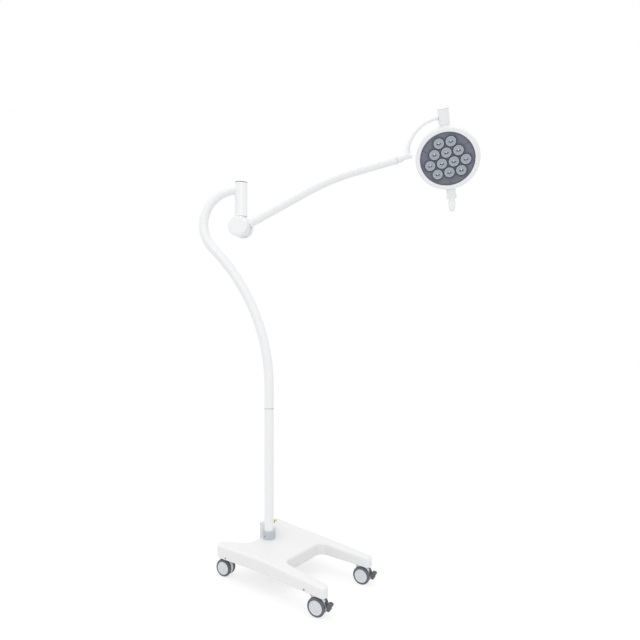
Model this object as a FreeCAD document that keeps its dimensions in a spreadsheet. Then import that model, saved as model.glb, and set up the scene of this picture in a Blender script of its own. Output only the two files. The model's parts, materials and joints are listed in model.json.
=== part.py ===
import FreeCAD, Part
import math
import operator
import os
import Sketcher

Vector = FreeCAD.Vector
Placement = FreeCAD.Placement
Rotation = FreeCAD.Rotation

os.makedirs("parts", exist_ok=True)
doc = FreeCAD.newDocument("examination_lamp")
sheet = doc.addObject("Spreadsheet::Sheet", "sizes")

# Driving sizes in millimetres and degrees. Heights are above the floor. In the base's own
# plan, x runs forward from the pole's axis and y to the left.
SIZES = {
    # the pole's axis in the row frame, whose origin is under the middle of the whole lamp
    "pole_x": -289.8, "pole_y": -140.52,
    # castor base
    "skirt_height": 81, "rear_top": 137, "front_top": 123, "slope_start": 150,
    "waist_back": 35, "waist_half": 92, "rear_back": 141, "lobe_half": 152, "rear_half": 197,
    "side_bend": 90, "side_half": 177, "tip_front": 453, "tip_outer": 173, "tip_inner": 136,
    "bay_front": 205, "bay_half": 119, "waist_round": 40, "lobe_round": 22, "corner_round": 26,
    "side_round": 600, "tip_round": 16, "bay_round": 34, "cover_wall": 4, "cover_round": 10,
    "plate_under": 86, "plate_thick": 6, "inner_gap": 0.4, "weight_thick": 32, "weight_half": 150,
    "weight_back": 29, "weight_front": 188, "foot_radius": 52, "foot_thick": 12, "foot_bolt_radius": 4,
    "foot_bolt_ring": 40, "foot_bolt_count": 4, "foot_bolt_step": 66,
    "screw_head": 3.4, "screw_shank": 1.6, "screw_rise": 3,
    "rear_screw_back": 79, "front_screw_front": 357, "screw_length": 12, "head_proud": 1.5, "head_seat": 0.35,
    "driver_length": 110, "driver_width": 34, "driver_height": 26, "driver_front": 310, "driver_side": 168,
    # pole
    "pole_radius": 21.5, "pole_wall": 3, "seam_height": 730, "collar_radius": 29, "collar_height": 36,
    "set_screw_radius": 3, "set_screw_height": 152, "bush_flange": 2, "bush_length": 90,
    "spigot_radius": 16, "spigot_length": 118, "run_gap": 0.05, "face_gap": 0.3, "spigot_rise": 60,
    "mast_turn": 38.6, "mast_straight": 97, "sway_radius": 910, "sway_turn": 44, "hook_radius": 160,
    # vertical sleeve and the swivel in it
    "hook_stop": 12.3, "sleeve_radius": 28.7, "sleeve_inner": 24, "sleeve_under": 125.3,
    "sleeve_length": 154, "cap_thick": 3, "cap_plug": 5, "sleeve_bush_length": 22, "spindle_radius": 15,
    "nut_radius": 20, "nut_thick": 6, "sleeve_screw_rise": 38, "sleeve_screw_step": 25,
    # tilting drum joint
    "pivot_drop": 49, "arm_turn": 25.1, "drum_radius": 45, "drum_thick": 37, "drum_inner": 9,
    "hub_radius": 38, "hub_width": 34.4, "far_cheek": 14, "neck_radius": 22, "neck_low": 41.5,
    "pivot_radius": 8, "drum_cap_radius": 41, "drum_cap_thick": 2, "hub_spigot": 16,
    # arm
    "arm_radius": 20, "arm_wall": 2.5, "arm_start": 46.5, "bend_out": 412, "bend_up": 199,
    "bend_radius": 1000, "arm_end_slope": 12.6, "arm_last_run": 302, "ferrule_radius": 21.8,
    "ferrule_length": 13, "plug_length": 36, "end_pin_radius": 9, "end_pin_length": 46,
    # yoke
    "socket_radius": 18.5, "socket_wide": 22, "socket_neck": 13.5, "socket_length": 63,
    "yoke_start": 45, "yoke_roll": 17.2, "yoke_heading": 78, "yoke_radius": 143, "yoke_run": 38,
    "yoke_tube": 8.7, "yoke_wall": 2, "yoke_boss": 11.5, "yoke_boss_length": 24, "tip_gap": 1.2,
    # head knuckle
    "knuckle_radius": 23.5, "knuckle_length": 62, "knuckle_tilt": 17.1, "knuckle_lean": 4.7, "knuckle_cap_thick": 3,
    "head_turn": -10.2, "stem_radius": 9, "stem_depth": 22, "saddle_radius": 25, "saddle_height": 8,
    # lamp head
    "head_radius": 135, "head_back": 28, "head_front": 28, "head_wall": 3, "bezel_step": 20,
    "face_rim": 17, "face_step": 26, "plate_depth": 4, "lens_radius": 23, "lens_pitch": 50, "lens_turn": 3,
    "lens_dome": 2.5, "lens_base": 16, "board_level": 12, "board_thick": 2, "board_rim": 23,
    "chip_width": 7, "chip_thick": 1.5, "sink_plate": 5, "fin_height": 15, "fin_thick": 3, "fin_pitch": 20,
    "fin_reach": 76,
    # handle under the head
    "bracket_width": 40, "bracket_thick": 11, "bracket_length": 42, "boss_radius": 11,
    "grip_radius": 15, "grip_length": 66, "grip_tilt": 35, "handle_pin_radius": 4,
    # mains inlet and earth stud behind the pole
    "box_depth": 26, "box_right": -2, "box_left": 56, "box_low": 98, "box_top": 190, "box_wall": 2.5,
    "inlet_width": 30, "inlet_height": 24, "inlet_depth": 18, "inlet_wall": 2, "inlet_floor": 3,
    "pin_width": 2, "pin_length": 12, "pin_spacing": 14, "inlet_level": 160, "inlet_side": 20.5,
    "rocker_width": 11, "rocker_height": 20, "rocker_side": 45, "rocker_pin": 1.5,
    "stud_radius": 3, "stud_length": 14, "stud_root": 4, "stud_neck": 2.5, "neck_length": 1,
    "shroud_root": 14, "shroud_tip": 6.5, "shroud_length": 30,
    "stud_level": 175,
    # castors
    "wheel_radius": 37.5, "wheel_width": 16, "wheel_gap": 8.2, "tyre_depth": 7, "hub_dish": 2,
    "castor_trail": 16, "castor_turn": 12, "web_half": 7.6, "web_radius": 35, "hood_top": 76.8,
    "hood_disc": 17, "hood_disc_thick": 1.3, "stem_pin": 5.5, "stem_top": 116, "axle_radius": 4,
    "front_castor": 393, "front_castor_side": 154, "rear_castor": 121, "rear_castor_side": 169,
    "socket_drop": 78, "socket_boss": 13.5, "pedal_reach": 64, "pedal_half": 13, "pedal_arm_half": 3.6,
    "pedal_slot": 4, "pedal_pivot": 28, "pedal_rise": 51, "pedal_pin": 2,
}


class Size:
    """A size that carries the sheet formula it comes from, for use in expressions."""

    def __init__(self, value, formula):
        self.value = float(value)
        self.formula = formula

    def __float__(self):
        return self.value

    def __add__(self, other):
        return joined(self, "+", other)

    def __radd__(self, other):
        return joined(other, "+", self)

    def __sub__(self, other):
        return joined(self, "-", other)

    def __rsub__(self, other):
        return joined(other, "-", self)

    def __mul__(self, other):
        return joined(self, "*", other)

    def __rmul__(self, other):
        return joined(other, "*", self)

    def __truediv__(self, other):
        return joined(self, "/", other)

    def __neg__(self):
        return joined(0, "-", self)


def sine(angle):
    return Size(math.sin(math.radians(float(angle))), "sin(" + formula_of(angle) + ")")


def cosine(angle):
    return Size(math.cos(math.radians(float(angle))), "cos(" + formula_of(angle) + ")")


SIGNS = {"+": operator.add, "-": operator.sub, "*": operator.mul, "/": operator.truediv}


def formula_of(item):
    return item.formula if isinstance(item, Size) else repr(float(item))


def joined(first, sign, second):
    value = SIGNS[sign](float(first), float(second))
    return Size(value, "(" + formula_of(first) + " " + sign + " " + formula_of(second) + ")")


class Sizes:
    """The sheet's cells as attributes."""


def fill_sheet():
    cells = Sizes()
    for row, (alias, value) in enumerate(SIZES.items(), start=1):
        sheet.set("A" + str(row), alias)
        sheet.set("B" + str(row), str(value))
        sheet.setAlias("B" + str(row), alias)
    doc.recompute()
    for alias in SIZES:
        setattr(cells, alias, Size(getattr(sheet, alias), "sizes." + alias))
    return cells


S = fill_sheet()
nodes = {}


def node(label, item):
    item.Label = label
    nodes[label] = item
    return item


def bind(item, prop, size):
    if isinstance(size, Size):
        item.setExpression(prop, size.formula)
    else:
        setattr(item, prop, size)


def move(x=0, y=0, z=0):
    return Placement(Vector(float(x), float(y), float(z)), Rotation())


def turn(axis, angle):
    return Placement(Vector(), Rotation(Vector(*axis), float(angle)))


X_AXIS = (1, 0, 0)
Y_AXIS = (0, 1, 0)
Z_AXIS = (0, 0, 1)
ALONG_X = turn(Y_AXIS, 90)
ALONG_Y = turn(X_AXIS, -90)
WORLD = Placement()
row_frame = move(S.pole_x, S.pole_y)


def cylinder(name, radius, height, place=WORLD):
    item = doc.addObject("Part::Cylinder", name)
    bind(item, "Radius", radius)
    bind(item, "Height", height)
    item.Placement = row_frame * place
    return item


def block(name, length, width, height, place=WORLD):
    item = doc.addObject("Part::Box", name)
    bind(item, "Length", length)
    bind(item, "Width", width)
    bind(item, "Height", height)
    item.Placement = row_frame * place
    return item


def cut(name, base, tool):
    item = doc.addObject("Part::Cut", name)
    item.Base = base
    item.Tool = tool
    return item


def fuse(name, pieces):
    item = doc.addObject("Part::MultiFuse", name)
    item.Shapes = pieces
    return item


def group(name, pieces):
    item = doc.addObject("Part::Compound", name)
    item.Links = pieces
    return item


def tube(name, outer, inner, height, place=WORLD):
    bore = cylinder(name + "_bore", inner, height + 2, place * move(z=-1))
    return cut(name, cylinder(name + "_outer", outer, height, place), bore)


def shaped(name, shape, place=WORLD):
    item = doc.addObject("Part::Feature", name)
    item.Shape = shape
    item.Placement = row_frame * place
    return item


def draw_loop(sketch, corners):
    points = [Vector(float(x), float(y), 0) for x, y in corners]
    count = len(points)
    lines = [Part.LineSegment(points[i], points[(i + 1) % count]) for i in range(count)]
    sketch.addGeometry(lines, False)
    rules = [Sketcher.Constraint("Coincident", i, 2, (i + 1) % count, 1) for i in range(count)]
    bound = []
    for i, corner in enumerate(corners):
        for kind, axis, size in (("DistanceX", -2, corner[0]), ("DistanceY", -1, corner[1])):
            if float(size) == 0:
                rules.append(Sketcher.Constraint("PointOnObject", i, 1, axis))
                continue
            bound.append((len(rules), size))
            rules.append(Sketcher.Constraint(kind, -1, 1, i, 1, float(size)))
    sketch.addConstraint(rules)
    for index, size in bound:
        if isinstance(size, Size):
            sketch.setExpression("Constraints[" + str(index) + "]", size.formula)


def body_with_sketch(name, plane, corners):
    body = doc.addObject("PartDesign::Body", name)
    sketch = body.newObject("Sketcher::SketchObject", name + "_outline")
    planes = [item for item in body.Origin.OriginFeatures if item.Role == plane]
    sketch.AttachmentSupport = (planes[0], [""])
    sketch.MapMode = "FlatFace"
    draw_loop(sketch, corners)
    return body, sketch


def turned(name, corners, place=WORLD):
    """A lathe piece: corners are (radius, height) pairs, turned about the local z axis."""
    body, sketch = body_with_sketch(name, "XZ_Plane", corners)
    spin = body.newObject("PartDesign::Revolution", name + "_spin")
    spin.Profile = sketch
    spin.ReferenceAxis = (sketch, ["V_Axis"])
    spin.Angle = 360
    body.Placement = row_frame * place
    return body


def slab(name, corners, width, place=WORLD):
    """A plate: corners are (x, z) pairs, padded equally to both sides of y = 0."""
    body, sketch = body_with_sketch(name, "XZ_Plane", corners)
    pad = body.newObject("PartDesign::Pad", name + "_pad")
    pad.Profile = sketch
    pad.SideType = "Symmetric"
    bind(pad, "Length", width)
    body.Placement = row_frame * place
    return body


def rounded_outline(corners):
    """A closed wire in the floor plane through (x, y, radius) corners."""
    edges = []
    stops = []
    count = len(corners)
    for i in range(count):
        before, here, after = (Vector(*corners[(i + k) % count][:2], 0) for k in (-1, 0, 1))
        radius = corners[i][2]
        if radius == 0:
            stops.append((here, here, None))
            continue
        back = (before - here).normalize()
        ahead = (after - here).normalize()
        half = back.getAngle(ahead) / 2
        reach = radius / math.tan(half)
        middle = here + (back + ahead).normalize() * (radius / math.sin(half) - radius)
        stops.append((here + back * reach, here + ahead * reach, middle))
    for i in range(count):
        start, end, middle = stops[i]
        if middle is not None:
            edges.append(Part.Arc(start, middle, end).toShape())
        edges.append(Part.LineSegment(end, stops[(i + 1) % count][0]).toShape())
    return Part.Wire(edges)


def bent_path(parts, start, heading):
    """Tangent runs and arcs in the local xz plane.

    parts holds ("run", length) and ("bend", radius, turn); a positive turn bends upward.
    """
    edges = []
    point = Vector(*start)
    angle = math.radians(heading)
    for part in parts:
        ahead = Vector(math.cos(angle), 0, math.sin(angle))
        if part[0] == "run":
            target = point + ahead * part[1]
            edges.append(Part.LineSegment(point, target).toShape())
        else:
            radius, swing = part[1], math.radians(part[2])
            side = math.copysign(1, swing)
            centre = point + Vector(-ahead.z, 0, ahead.x) * radius * side
            stops = []
            for share in (0.5, 1):
                now = angle + swing * share
                stops.append(centre - Vector(-math.sin(now), 0, math.cos(now)) * radius * side)
            edges.append(Part.Arc(point, stops[0], stops[1]).toShape())
            target = stops[1]
            angle += swing
        point = target
    return Part.Wire(edges), point, math.degrees(angle)


def rod_along(path, radius):
    start = path.OrderedVertexes[0].Point
    ahead = path.OrderedEdges[0].tangentAt(path.OrderedEdges[0].FirstParameter)
    ring = Part.Wire(Part.Circle(start, ahead, radius).toShape())
    return path.makePipeShell([ring], True, False)


def tube_along(path, outer, inner):
    return rod_along(path, outer).cut(rod_along(path, inner))


def prism(wire, low, high):
    solid = Part.Face(wire).extrude(Vector(0, 0, high - low))
    solid.translate(Vector(0, 0, low))
    return solid


# Frames: each is the place of one joint's parts, in the plan of the base
mast_frame = turn(Z_AXIS, S.mast_turn)
# The hooked pole leans back by its sway and comes forward by its hook; the sleeve hangs on its end
hook_back = S.sway_radius * (1 - cosine(S.sway_turn)) - S.hook_radius * cosine(S.sway_turn)
hook_level = S.seam_height + S.mast_straight + (S.sway_radius + S.hook_radius) * sine(S.sway_turn) + S.hook_radius
sleeve_offset = hook_back - S.hook_stop
sleeve_low = hook_level - S.sleeve_under
sleeve_high = sleeve_low + S.sleeve_length
pivot_level = sleeve_low - S.pivot_drop
sleeve_frame = mast_frame * move(x=-sleeve_offset)
arm_axis = Placement(sleeve_frame.Base, Rotation())
arm_frame = arm_axis * move(z=pivot_level) * turn(Z_AXIS, S.arm_turn)
hub_middle = float(S.hub_width / 2 - S.drum_inner + S.face_gap)


def arm_route():
    rise = math.degrees(math.atan2(float(S.bend_up), float(S.bend_out)))
    swing = rise - float(S.arm_end_slope)
    tangent = float(S.bend_radius) * math.tan(math.radians(swing / 2))
    first = math.hypot(float(S.bend_out), float(S.bend_up)) - tangent - float(S.arm_start)
    start = (float(S.arm_start) * math.cos(math.radians(rise)), 0,
             float(S.arm_start) * math.sin(math.radians(rise)))
    last = float(S.arm_last_run - S.ferrule_length) - tangent
    parts = [("run", first), ("bend", float(S.bend_radius), -swing), ("run", last)]
    return bent_path(parts, start, rise), rise


(arm_path, arm_tip, arm_tip_angle), arm_rise = arm_route()
arm_line = arm_frame * move(y=hub_middle)
end_frame = arm_line * Placement(arm_tip, Rotation()) * turn(Y_AXIS, -arm_tip_angle) * move(x=S.ferrule_length)
yoke_frame = end_frame * turn(X_AXIS, S.yoke_roll)
yoke_path, yoke_tip, yoke_tip_angle = bent_path(
    [("bend", float(S.yoke_radius), -float(S.yoke_heading)), ("run", float(S.yoke_run))],
    (float(S.yoke_start), 0, 0), float(S.yoke_heading))
tilt_frame = yoke_frame * Placement(yoke_tip, Rotation()) * turn(Y_AXIS, -yoke_tip_angle)
knuckle_frame = tilt_frame * turn(X_AXIS, S.knuckle_tilt) * turn(Y_AXIS, S.knuckle_lean)
head_drop = S.knuckle_length / 2 + S.saddle_height + S.head_radius
head_frame = knuckle_frame * turn(Z_AXIS, S.head_turn) * move(z=-head_drop)
face_frame = head_frame * turn(X_AXIS, 90)
lens_frame = face_frame * turn(Z_AXIS, S.lens_turn)
face_radius = S.head_radius - S.face_rim


# Castor base

def base_corners():
    back, waist = -float(S.rear_back), -float(S.waist_back)
    half = [
        (waist, float(S.waist_half), float(S.waist_round)),
        (back, float(S.lobe_half), float(S.lobe_round)),
        (back, float(S.rear_half), float(S.corner_round)),
        (float(S.side_bend), float(S.side_half), float(S.side_round)),
        (float(S.tip_front), float(S.tip_outer), float(S.tip_round)),
        (float(S.tip_front), float(S.tip_inner), float(S.tip_round)),
        (float(S.bay_front), float(S.bay_half), float(S.bay_round)),
    ]
    return half + [(x, -y, radius) for x, y, radius in reversed(half)]


def inset_outline(distance):
    outline = rounded_outline(base_corners())
    if distance == 0:
        return outline
    return outline.makeOffset2D(-distance)


def base_solid(inset, low, lowered):
    """The base's outer form, drawn in by inset, with its top lowered."""
    far = 2 * float(S.tip_front)
    rear, front = float(S.rear_top) - lowered, float(S.front_top) - lowered
    drop = (rear - front) / float(S.tip_front - S.slope_start)
    corners = [(-far, low), (far, low), (far, front - drop * (far - float(S.tip_front))),
               (float(S.slope_start), rear), (-far, rear)]
    side = Part.makePolygon([Vector(x, -far, z) for x, z in corners + corners[:1]])
    form = Part.Face(side).extrude(Vector(0, 2 * far, 0))
    return prism(inset_outline(inset), low, rear + 1).common(form)


def top_edges(solid, low):
    return [edge for edge in solid.Edges
            if edge.BoundBox.ZMin > low + 5 and not crosses_top(edge)]


def crosses_top(edge):
    """The straight crease across the top, where its slope starts."""
    box = edge.BoundBox
    return box.XLength < 0.01 and box.YLength > float(S.bay_half)


def make_base_cover():
    low = float(S.skirt_height)
    outer = base_solid(0, low, 0)
    outer = outer.makeFillet(float(S.cover_round), top_edges(outer, low))
    inner = base_solid(float(S.cover_wall), low - 1, float(S.cover_wall))
    cover = outer.cut(inner)
    hole = Part.makeCylinder(float(S.pole_radius + S.run_gap), 60, Vector(0, 0, float(S.rear_top) - 30))
    cover = cover.cut(hole)
    for x, side in screw_spots():
        cover = cover.cut(screw_shape(x, side, float(S.screw_shank), 60, float(S.head_proud)))
    return node("base_cover", shaped("base_cover", cover))


def screw_spots():
    return [(x, side) for x in (-float(S.rear_screw_back), float(S.front_screw_front)) for side in (-1, 1)]


def side_wall(x):
    """Half-width of the cover's outer side at x."""
    bend = float(S.side_bend)
    if x < bend:
        share = (x + float(S.rear_back)) / (bend + float(S.rear_back))
        return float(S.rear_half) + share * float(S.side_half - S.rear_half)
    share = (x - bend) / (float(S.tip_front) - bend)
    return float(S.side_half) + share * float(S.tip_outer - S.side_half)


def screw_shape(x, side, radius, length, start):
    """A cylinder along y, from start outside the cover's side inward."""
    y = side * (side_wall(x) + start)
    z = float(S.plate_under + S.screw_rise)
    return Part.makeCylinder(radius, length, Vector(x, y, z), Vector(0, -side, 0))


def make_cover_screws():
    screws = []
    for x, side in screw_spots():
        proud = float(S.head_proud)
        head = screw_shape(x, side, float(S.screw_head), proud - float(S.head_seat), proud)
        shank = screw_shape(x, side, float(S.screw_shank), float(S.screw_length) + proud, proud)
        screws.append(head.fuse(shank).removeSplitter())
    return Part.makeCompound(screws)


def castor_spots():
    front, rear = float(S.front_castor), -float(S.rear_castor)
    front_side, rear_side = float(S.front_castor_side), float(S.rear_castor_side)
    return {"front_left": (front, front_side), "front_right": (front, -front_side),
            "rear_left": (rear, rear_side), "rear_right": (rear, -rear_side)}


def make_chassis(screws):
    low = float(S.plate_under)
    plate = prism(inset_outline(float(S.cover_wall + S.inner_gap)), low, low + float(S.plate_thick))
    drop = float(S.socket_drop)
    top = float(S.stem_top + 4)
    bosses = [Part.makeCylinder(float(S.socket_boss), top - drop, Vector(x, y, drop))
              for x, y in castor_spots().values()]
    solid = plate.multiFuse(bosses).removeSplitter()
    bore = float(S.stem_pin + S.run_gap)
    for x, y in castor_spots().values():
        solid = solid.cut(Part.makeCylinder(bore, float(S.stem_top) + 1 - drop, Vector(x, y, drop)))
    return node("chassis_plate", shaped("chassis_plate", solid.cut(screws)))


def make_counterweight():
    low = float(S.plate_under + S.plate_thick)
    back, front, half = -float(S.weight_back), float(S.weight_front), float(S.weight_half)
    wire = rounded_outline([(back, -half, 20), (front, -half, 20), (front, half, 20), (back, half, 20)])
    solid = prism(wire, low, low + float(S.weight_thick))
    room = float(S.foot_radius) + 1
    height = float(S.weight_thick) + 2
    around = Part.makeCylinder(room, height, Vector(0, 0, low - 1))
    slot = Part.makeBox(-back + 1, 2 * room, height, Vector(back - 1, -room, low - 1))
    return node("counterweight", shaped("counterweight", solid.cut(around).cut(slot)))


def make_pole_foot():
    low = S.plate_under + S.plate_thick
    socket = S.pole_radius + 5
    foot = turned("foot_body", [(S.pole_radius, low), (S.foot_radius, low), (S.foot_radius, low + S.foot_thick),
                                (socket, low + S.foot_thick), (socket, S.rear_top - S.cover_wall - 2),
                                (S.pole_radius, S.rear_top - S.cover_wall - 2)])
    bolts = []
    for i in range(int(float(S.foot_bolt_count))):
        spot = turn(Z_AXIS, (i - S.foot_bolt_count / 2 + 0.5) * S.foot_bolt_step) * move(x=S.foot_bolt_ring)
        shank = cylinder("foot_bolt_shank_" + str(i), S.foot_bolt_radius, S.foot_thick, spot * move(z=low))
        head = cylinder("foot_bolt_head_" + str(i), S.foot_bolt_radius * 1.7, S.foot_bolt_radius,
                        spot * move(z=low + S.foot_thick))
        bolts.append(fuse("foot_bolt_" + str(i), [shank, head]))
    foot_bolts = group("foot_bolts", bolts)
    behind = block("foot_back_cut", S.foot_radius, 2 * S.foot_radius, 2 * S.foot_thick,
                   move(S.cover_wall + 1 - S.waist_back - S.foot_radius, -S.foot_radius, low))
    node("pole_foot", cut("pole_foot", cut("foot_trimmed", foot, behind), foot_bolts))
    return foot_bolts


def make_collar():
    top = S.rear_top + S.collar_height
    ring = turned("collar_ring", [(S.pole_radius, S.rear_top), (S.collar_radius, S.rear_top),
                                  (S.collar_radius, top - 2), (S.collar_radius - 2, top), (S.pole_radius, top)])
    spot = move(z=S.set_screw_height) * turn(X_AXIS, 90)
    reach = S.collar_radius - S.pole_radius - 0.4
    screw = cylinder("set_screw", S.set_screw_radius, reach, spot * move(z=S.pole_radius))
    hole = cylinder("set_screw_hole", S.set_screw_radius, reach + 10, spot * move(z=S.pole_radius))
    node("pole_collar", cut("pole_collar", ring, hole))
    return screw


def make_lower_pole():
    low = S.plate_under + S.plate_thick
    height = S.seam_height - S.bush_flange - low
    node("lower_pole", tube("lower_pole", S.pole_radius, S.pole_radius - S.pole_wall, height, move(z=low)))
    inner = S.spigot_radius + S.run_gap
    outer = S.pole_radius - S.pole_wall
    flange = S.seam_height - S.bush_flange
    bush = turned("pole_bush", [(inner, flange - S.bush_length), (outer, flange - S.bush_length),
                                (outer, flange), (S.pole_radius, flange), (S.pole_radius, S.seam_height),
                                (inner, S.seam_height)])
    node("pole_bush", bush)


# Upper pole with its hook, and the vertical sleeve

def make_mast():
    start = (0, 0, float(S.seam_height + S.face_gap))
    straight = float(S.mast_straight - S.face_gap)
    turn_back = float(S.sway_turn) + 90
    path, tip, heading = bent_path(
        [("run", straight), ("bend", float(S.sway_radius), float(S.sway_turn)),
         ("bend", float(S.hook_radius), -turn_back)], start, 90)
    pipe = tube_along(path, float(S.pole_radius), float(S.pole_radius - S.pole_wall))
    keep = Part.makeCylinder(float(S.sleeve_radius), float(S.sleeve_length + 2 * S.pole_radius),
                             Vector(-float(sleeve_offset), 0, float(sleeve_low)))
    pipe = pipe.cut(keep)
    pipe = max(pipe.Solids, key=lambda solid: solid.Volume)
    inner = S.pole_radius - S.pole_wall
    low = S.seam_height - S.spigot_length
    seat = S.seam_height + S.face_gap
    spigot = turned("mast_spigot", [(0, low), (S.spigot_radius, low), (S.spigot_radius, seat),
                                    (inner, seat), (inner, seat + S.spigot_rise), (0, seat + S.spigot_rise)])
    node("upper_pole", fuse("upper_pole", [shaped("bent_pole", pipe, mast_frame), spigot]))


def make_sleeve():
    shell = tube("sleeve_tube", S.sleeve_radius, S.sleeve_inner, S.sleeve_length,
                 sleeve_frame * move(z=sleeve_low))
    screws = []
    holes = []
    depth = S.sleeve_radius - S.sleeve_inner
    for i in range(2):
        level = sleeve_low + S.sleeve_screw_rise + i * S.sleeve_screw_step
        spot = sleeve_frame * move(z=level) * turn(Z_AXIS, -12) * ALONG_X
        screws.append(cylinder("sleeve_screw_" + str(i), S.set_screw_radius, depth - 0.4,
                               spot * move(z=S.sleeve_inner)))
        holes.append(cylinder("sleeve_screw_hole_" + str(i), S.set_screw_radius, depth + 2,
                              spot * move(z=S.sleeve_inner)))
    node("sleeve_screws", group("sleeve_screws", screws))
    node("pole_sleeve", cut("pole_sleeve", shell, group("sleeve_holes", holes)))
    plug = sleeve_high - S.cap_plug
    cap = turned("sleeve_cap", [(0, plug), (S.sleeve_inner, plug), (S.sleeve_inner, sleeve_high),
                                (S.sleeve_radius, sleeve_high), (S.sleeve_radius, sleeve_high + S.cap_thick),
                                (0, sleeve_high + S.cap_thick)], sleeve_frame)
    node("sleeve_cap", cap)
    rings = []
    inner = S.spindle_radius + S.run_gap
    nut_top = sleeve_high - S.cap_plug - 1
    for i, low in enumerate((sleeve_low, nut_top - S.nut_thick - S.face_gap - S.sleeve_bush_length)):
        rings.append(tube("sleeve_bush_" + str(i), S.sleeve_inner, inner, S.sleeve_bush_length,
                          sleeve_frame * move(z=low)))
    node("sleeve_bushes", group("sleeve_bushes", rings))


# Turret that hangs from the sleeve and carries the tilting arm

def make_turret():
    near = -S.drum_inner
    shaft = ALONG_Y
    cheek = cylinder("near_cheek", S.drum_radius, S.drum_thick, arm_frame * move(y=near - S.drum_thick) * shaft)
    far_low = near + S.hub_width + 2 * S.face_gap
    far = cylinder("far_cheek_disc", S.drum_radius, S.far_cheek, arm_frame * move(y=far_low) * shaft)
    neck_top = sleeve_low - pivot_level - S.face_gap
    neck = cylinder("turret_neck", S.neck_radius, neck_top - S.neck_low, arm_frame * move(z=S.neck_low))
    bridge = block("turret_bridge", 2 * S.hub_spigot, S.drum_thick / 2 + S.hub_width + S.far_cheek,
                   S.drum_radius - S.neck_low,
                   arm_frame * move(-S.hub_spigot, near - S.drum_thick / 2, S.neck_low))
    whole = fuse("turret_whole", [cheek, far, neck, bridge])
    pin_length = S.drum_thick - 8 + S.hub_width + S.far_cheek + 2 * S.face_gap
    pin_place = arm_frame * move(y=near - S.drum_thick + 8) * shaft
    pin = cylinder("pivot_pin", S.pivot_radius, pin_length, pin_place)
    node("pivot_pin", pin)
    spindle_low = pivot_level + S.neck_low
    nut_top = sleeve_high - S.cap_plug - 1
    spindle = turned("spindle", [(0, spindle_low), (S.spindle_radius, spindle_low),
                                 (S.spindle_radius, nut_top - S.nut_thick),
                                 (S.spindle_radius - 4, nut_top - S.nut_thick),
                                 (S.spindle_radius - 4, nut_top), (0, nut_top)], arm_axis)
    nut = tube("spindle_nut", S.nut_radius, S.spindle_radius - 4, S.nut_thick,
               arm_axis * move(z=nut_top - S.nut_thick))
    node("spindle", group("spindle_and_nut", [spindle, nut]))
    node("turret_housing", cut("turret_housing", whole, fuse("turret_bores", [pin, spindle])))
    cap_place = arm_frame * move(y=near - S.drum_thick) * turn(X_AXIS, 90)
    cap = turned("drum_cap", [(0, 0), (S.drum_cap_radius, 0), (S.drum_cap_radius, S.drum_cap_thick - 1),
                              (S.drum_cap_radius - 1, S.drum_cap_thick), (0, S.drum_cap_thick)], cap_place)
    node("drum_cap", cap)


def make_arm():
    pipe = tube_along(arm_path, float(S.arm_radius), float(S.arm_radius - S.arm_wall))
    node("arm_tube", shaped("arm_tube", pipe, arm_line))
    barrel = cylinder("hub_barrel", S.hub_radius, S.hub_width,
                      arm_line * move(y=-S.hub_width / 2) * ALONG_Y)
    tilt = arm_line * turn(Y_AXIS, -arm_rise)
    neck = cylinder("hub_neck", S.hub_spigot, S.arm_start, tilt * ALONG_X)
    plug = cylinder("hub_plug", S.arm_radius - S.arm_wall, 40, tilt * move(x=S.arm_start) * ALONG_X)
    bore = cylinder("hub_bore", S.pivot_radius + S.run_gap, S.hub_width + 2,
                    arm_line * move(y=-S.hub_width / 2 - 1) * ALONG_Y)
    node("arm_hub", cut("arm_hub", fuse("hub_whole", [barrel, neck, plug]), bore))
    inner = S.arm_radius - S.arm_wall
    ferrule_back = -S.ferrule_length
    fitting = turned("arm_end_fitting", [
        (0, -S.plug_length), (inner, -S.plug_length), (inner, ferrule_back), (S.ferrule_radius - 1, ferrule_back),
        (S.ferrule_radius, ferrule_back + 1), (S.ferrule_radius, -1), (S.ferrule_radius - 1, 0),
        (S.end_pin_radius, 0), (S.end_pin_radius, S.end_pin_length), (0, S.end_pin_length)], end_frame * ALONG_X)
    node("arm_end_fitting", fitting)


# Yoke, knuckle and head

def make_yoke():
    barrel = turned("socket_barrel", [(0, S.face_gap), (S.socket_radius - 1, S.face_gap),
                                      (S.socket_radius, S.face_gap + 1), (S.socket_radius, S.socket_wide - 4),
                                      (S.socket_neck, S.socket_wide + 6), (S.socket_neck, S.socket_length - 2),
                                      (S.socket_neck - 2, S.socket_length), (0, S.socket_length)],
                    end_frame * ALONG_X)
    root = yoke_frame * move(x=S.yoke_start) * turn(Y_AXIS, -S.yoke_heading)
    boss = cylinder("socket_boss_rod", S.yoke_boss, S.yoke_boss_length, root * ALONG_X)
    bore = cylinder("socket_bore", S.end_pin_radius + S.run_gap, S.end_pin_length + 1,
                    end_frame * ALONG_X)
    solid_rod = shaped("yoke_rod", rod_along(yoke_path, float(S.yoke_tube)), yoke_frame)
    whole = cut("socket_whole", fuse("socket_fused", [barrel, boss]), bore)
    node("yoke_socket", cut("yoke_socket", whole, solid_rod))
    pipe = tube_along(yoke_path, float(S.yoke_tube), float(S.yoke_tube - S.yoke_wall))
    ends = cylinder("yoke_root_cut", S.socket_neck - 1, S.socket_length, end_frame * ALONG_X)
    stop = block("yoke_tip_cut", 2 * S.knuckle_radius, S.knuckle_radius, S.knuckle_radius,
                 tilt_frame * move(-S.knuckle_radius - S.tip_gap, -S.knuckle_radius / 2, -S.knuckle_radius / 2))
    node("yoke_tube", cut("yoke_tube", shaped("yoke_pipe", pipe, yoke_frame), fuse("yoke_ends", [ends, stop])))
    pin_back = S.knuckle_radius + 8
    node("yoke_pin", cylinder("yoke_pin", S.yoke_tube - S.yoke_wall, pin_back + 6,
                              tilt_frame * move(x=-pin_back) * ALONG_X))


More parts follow.
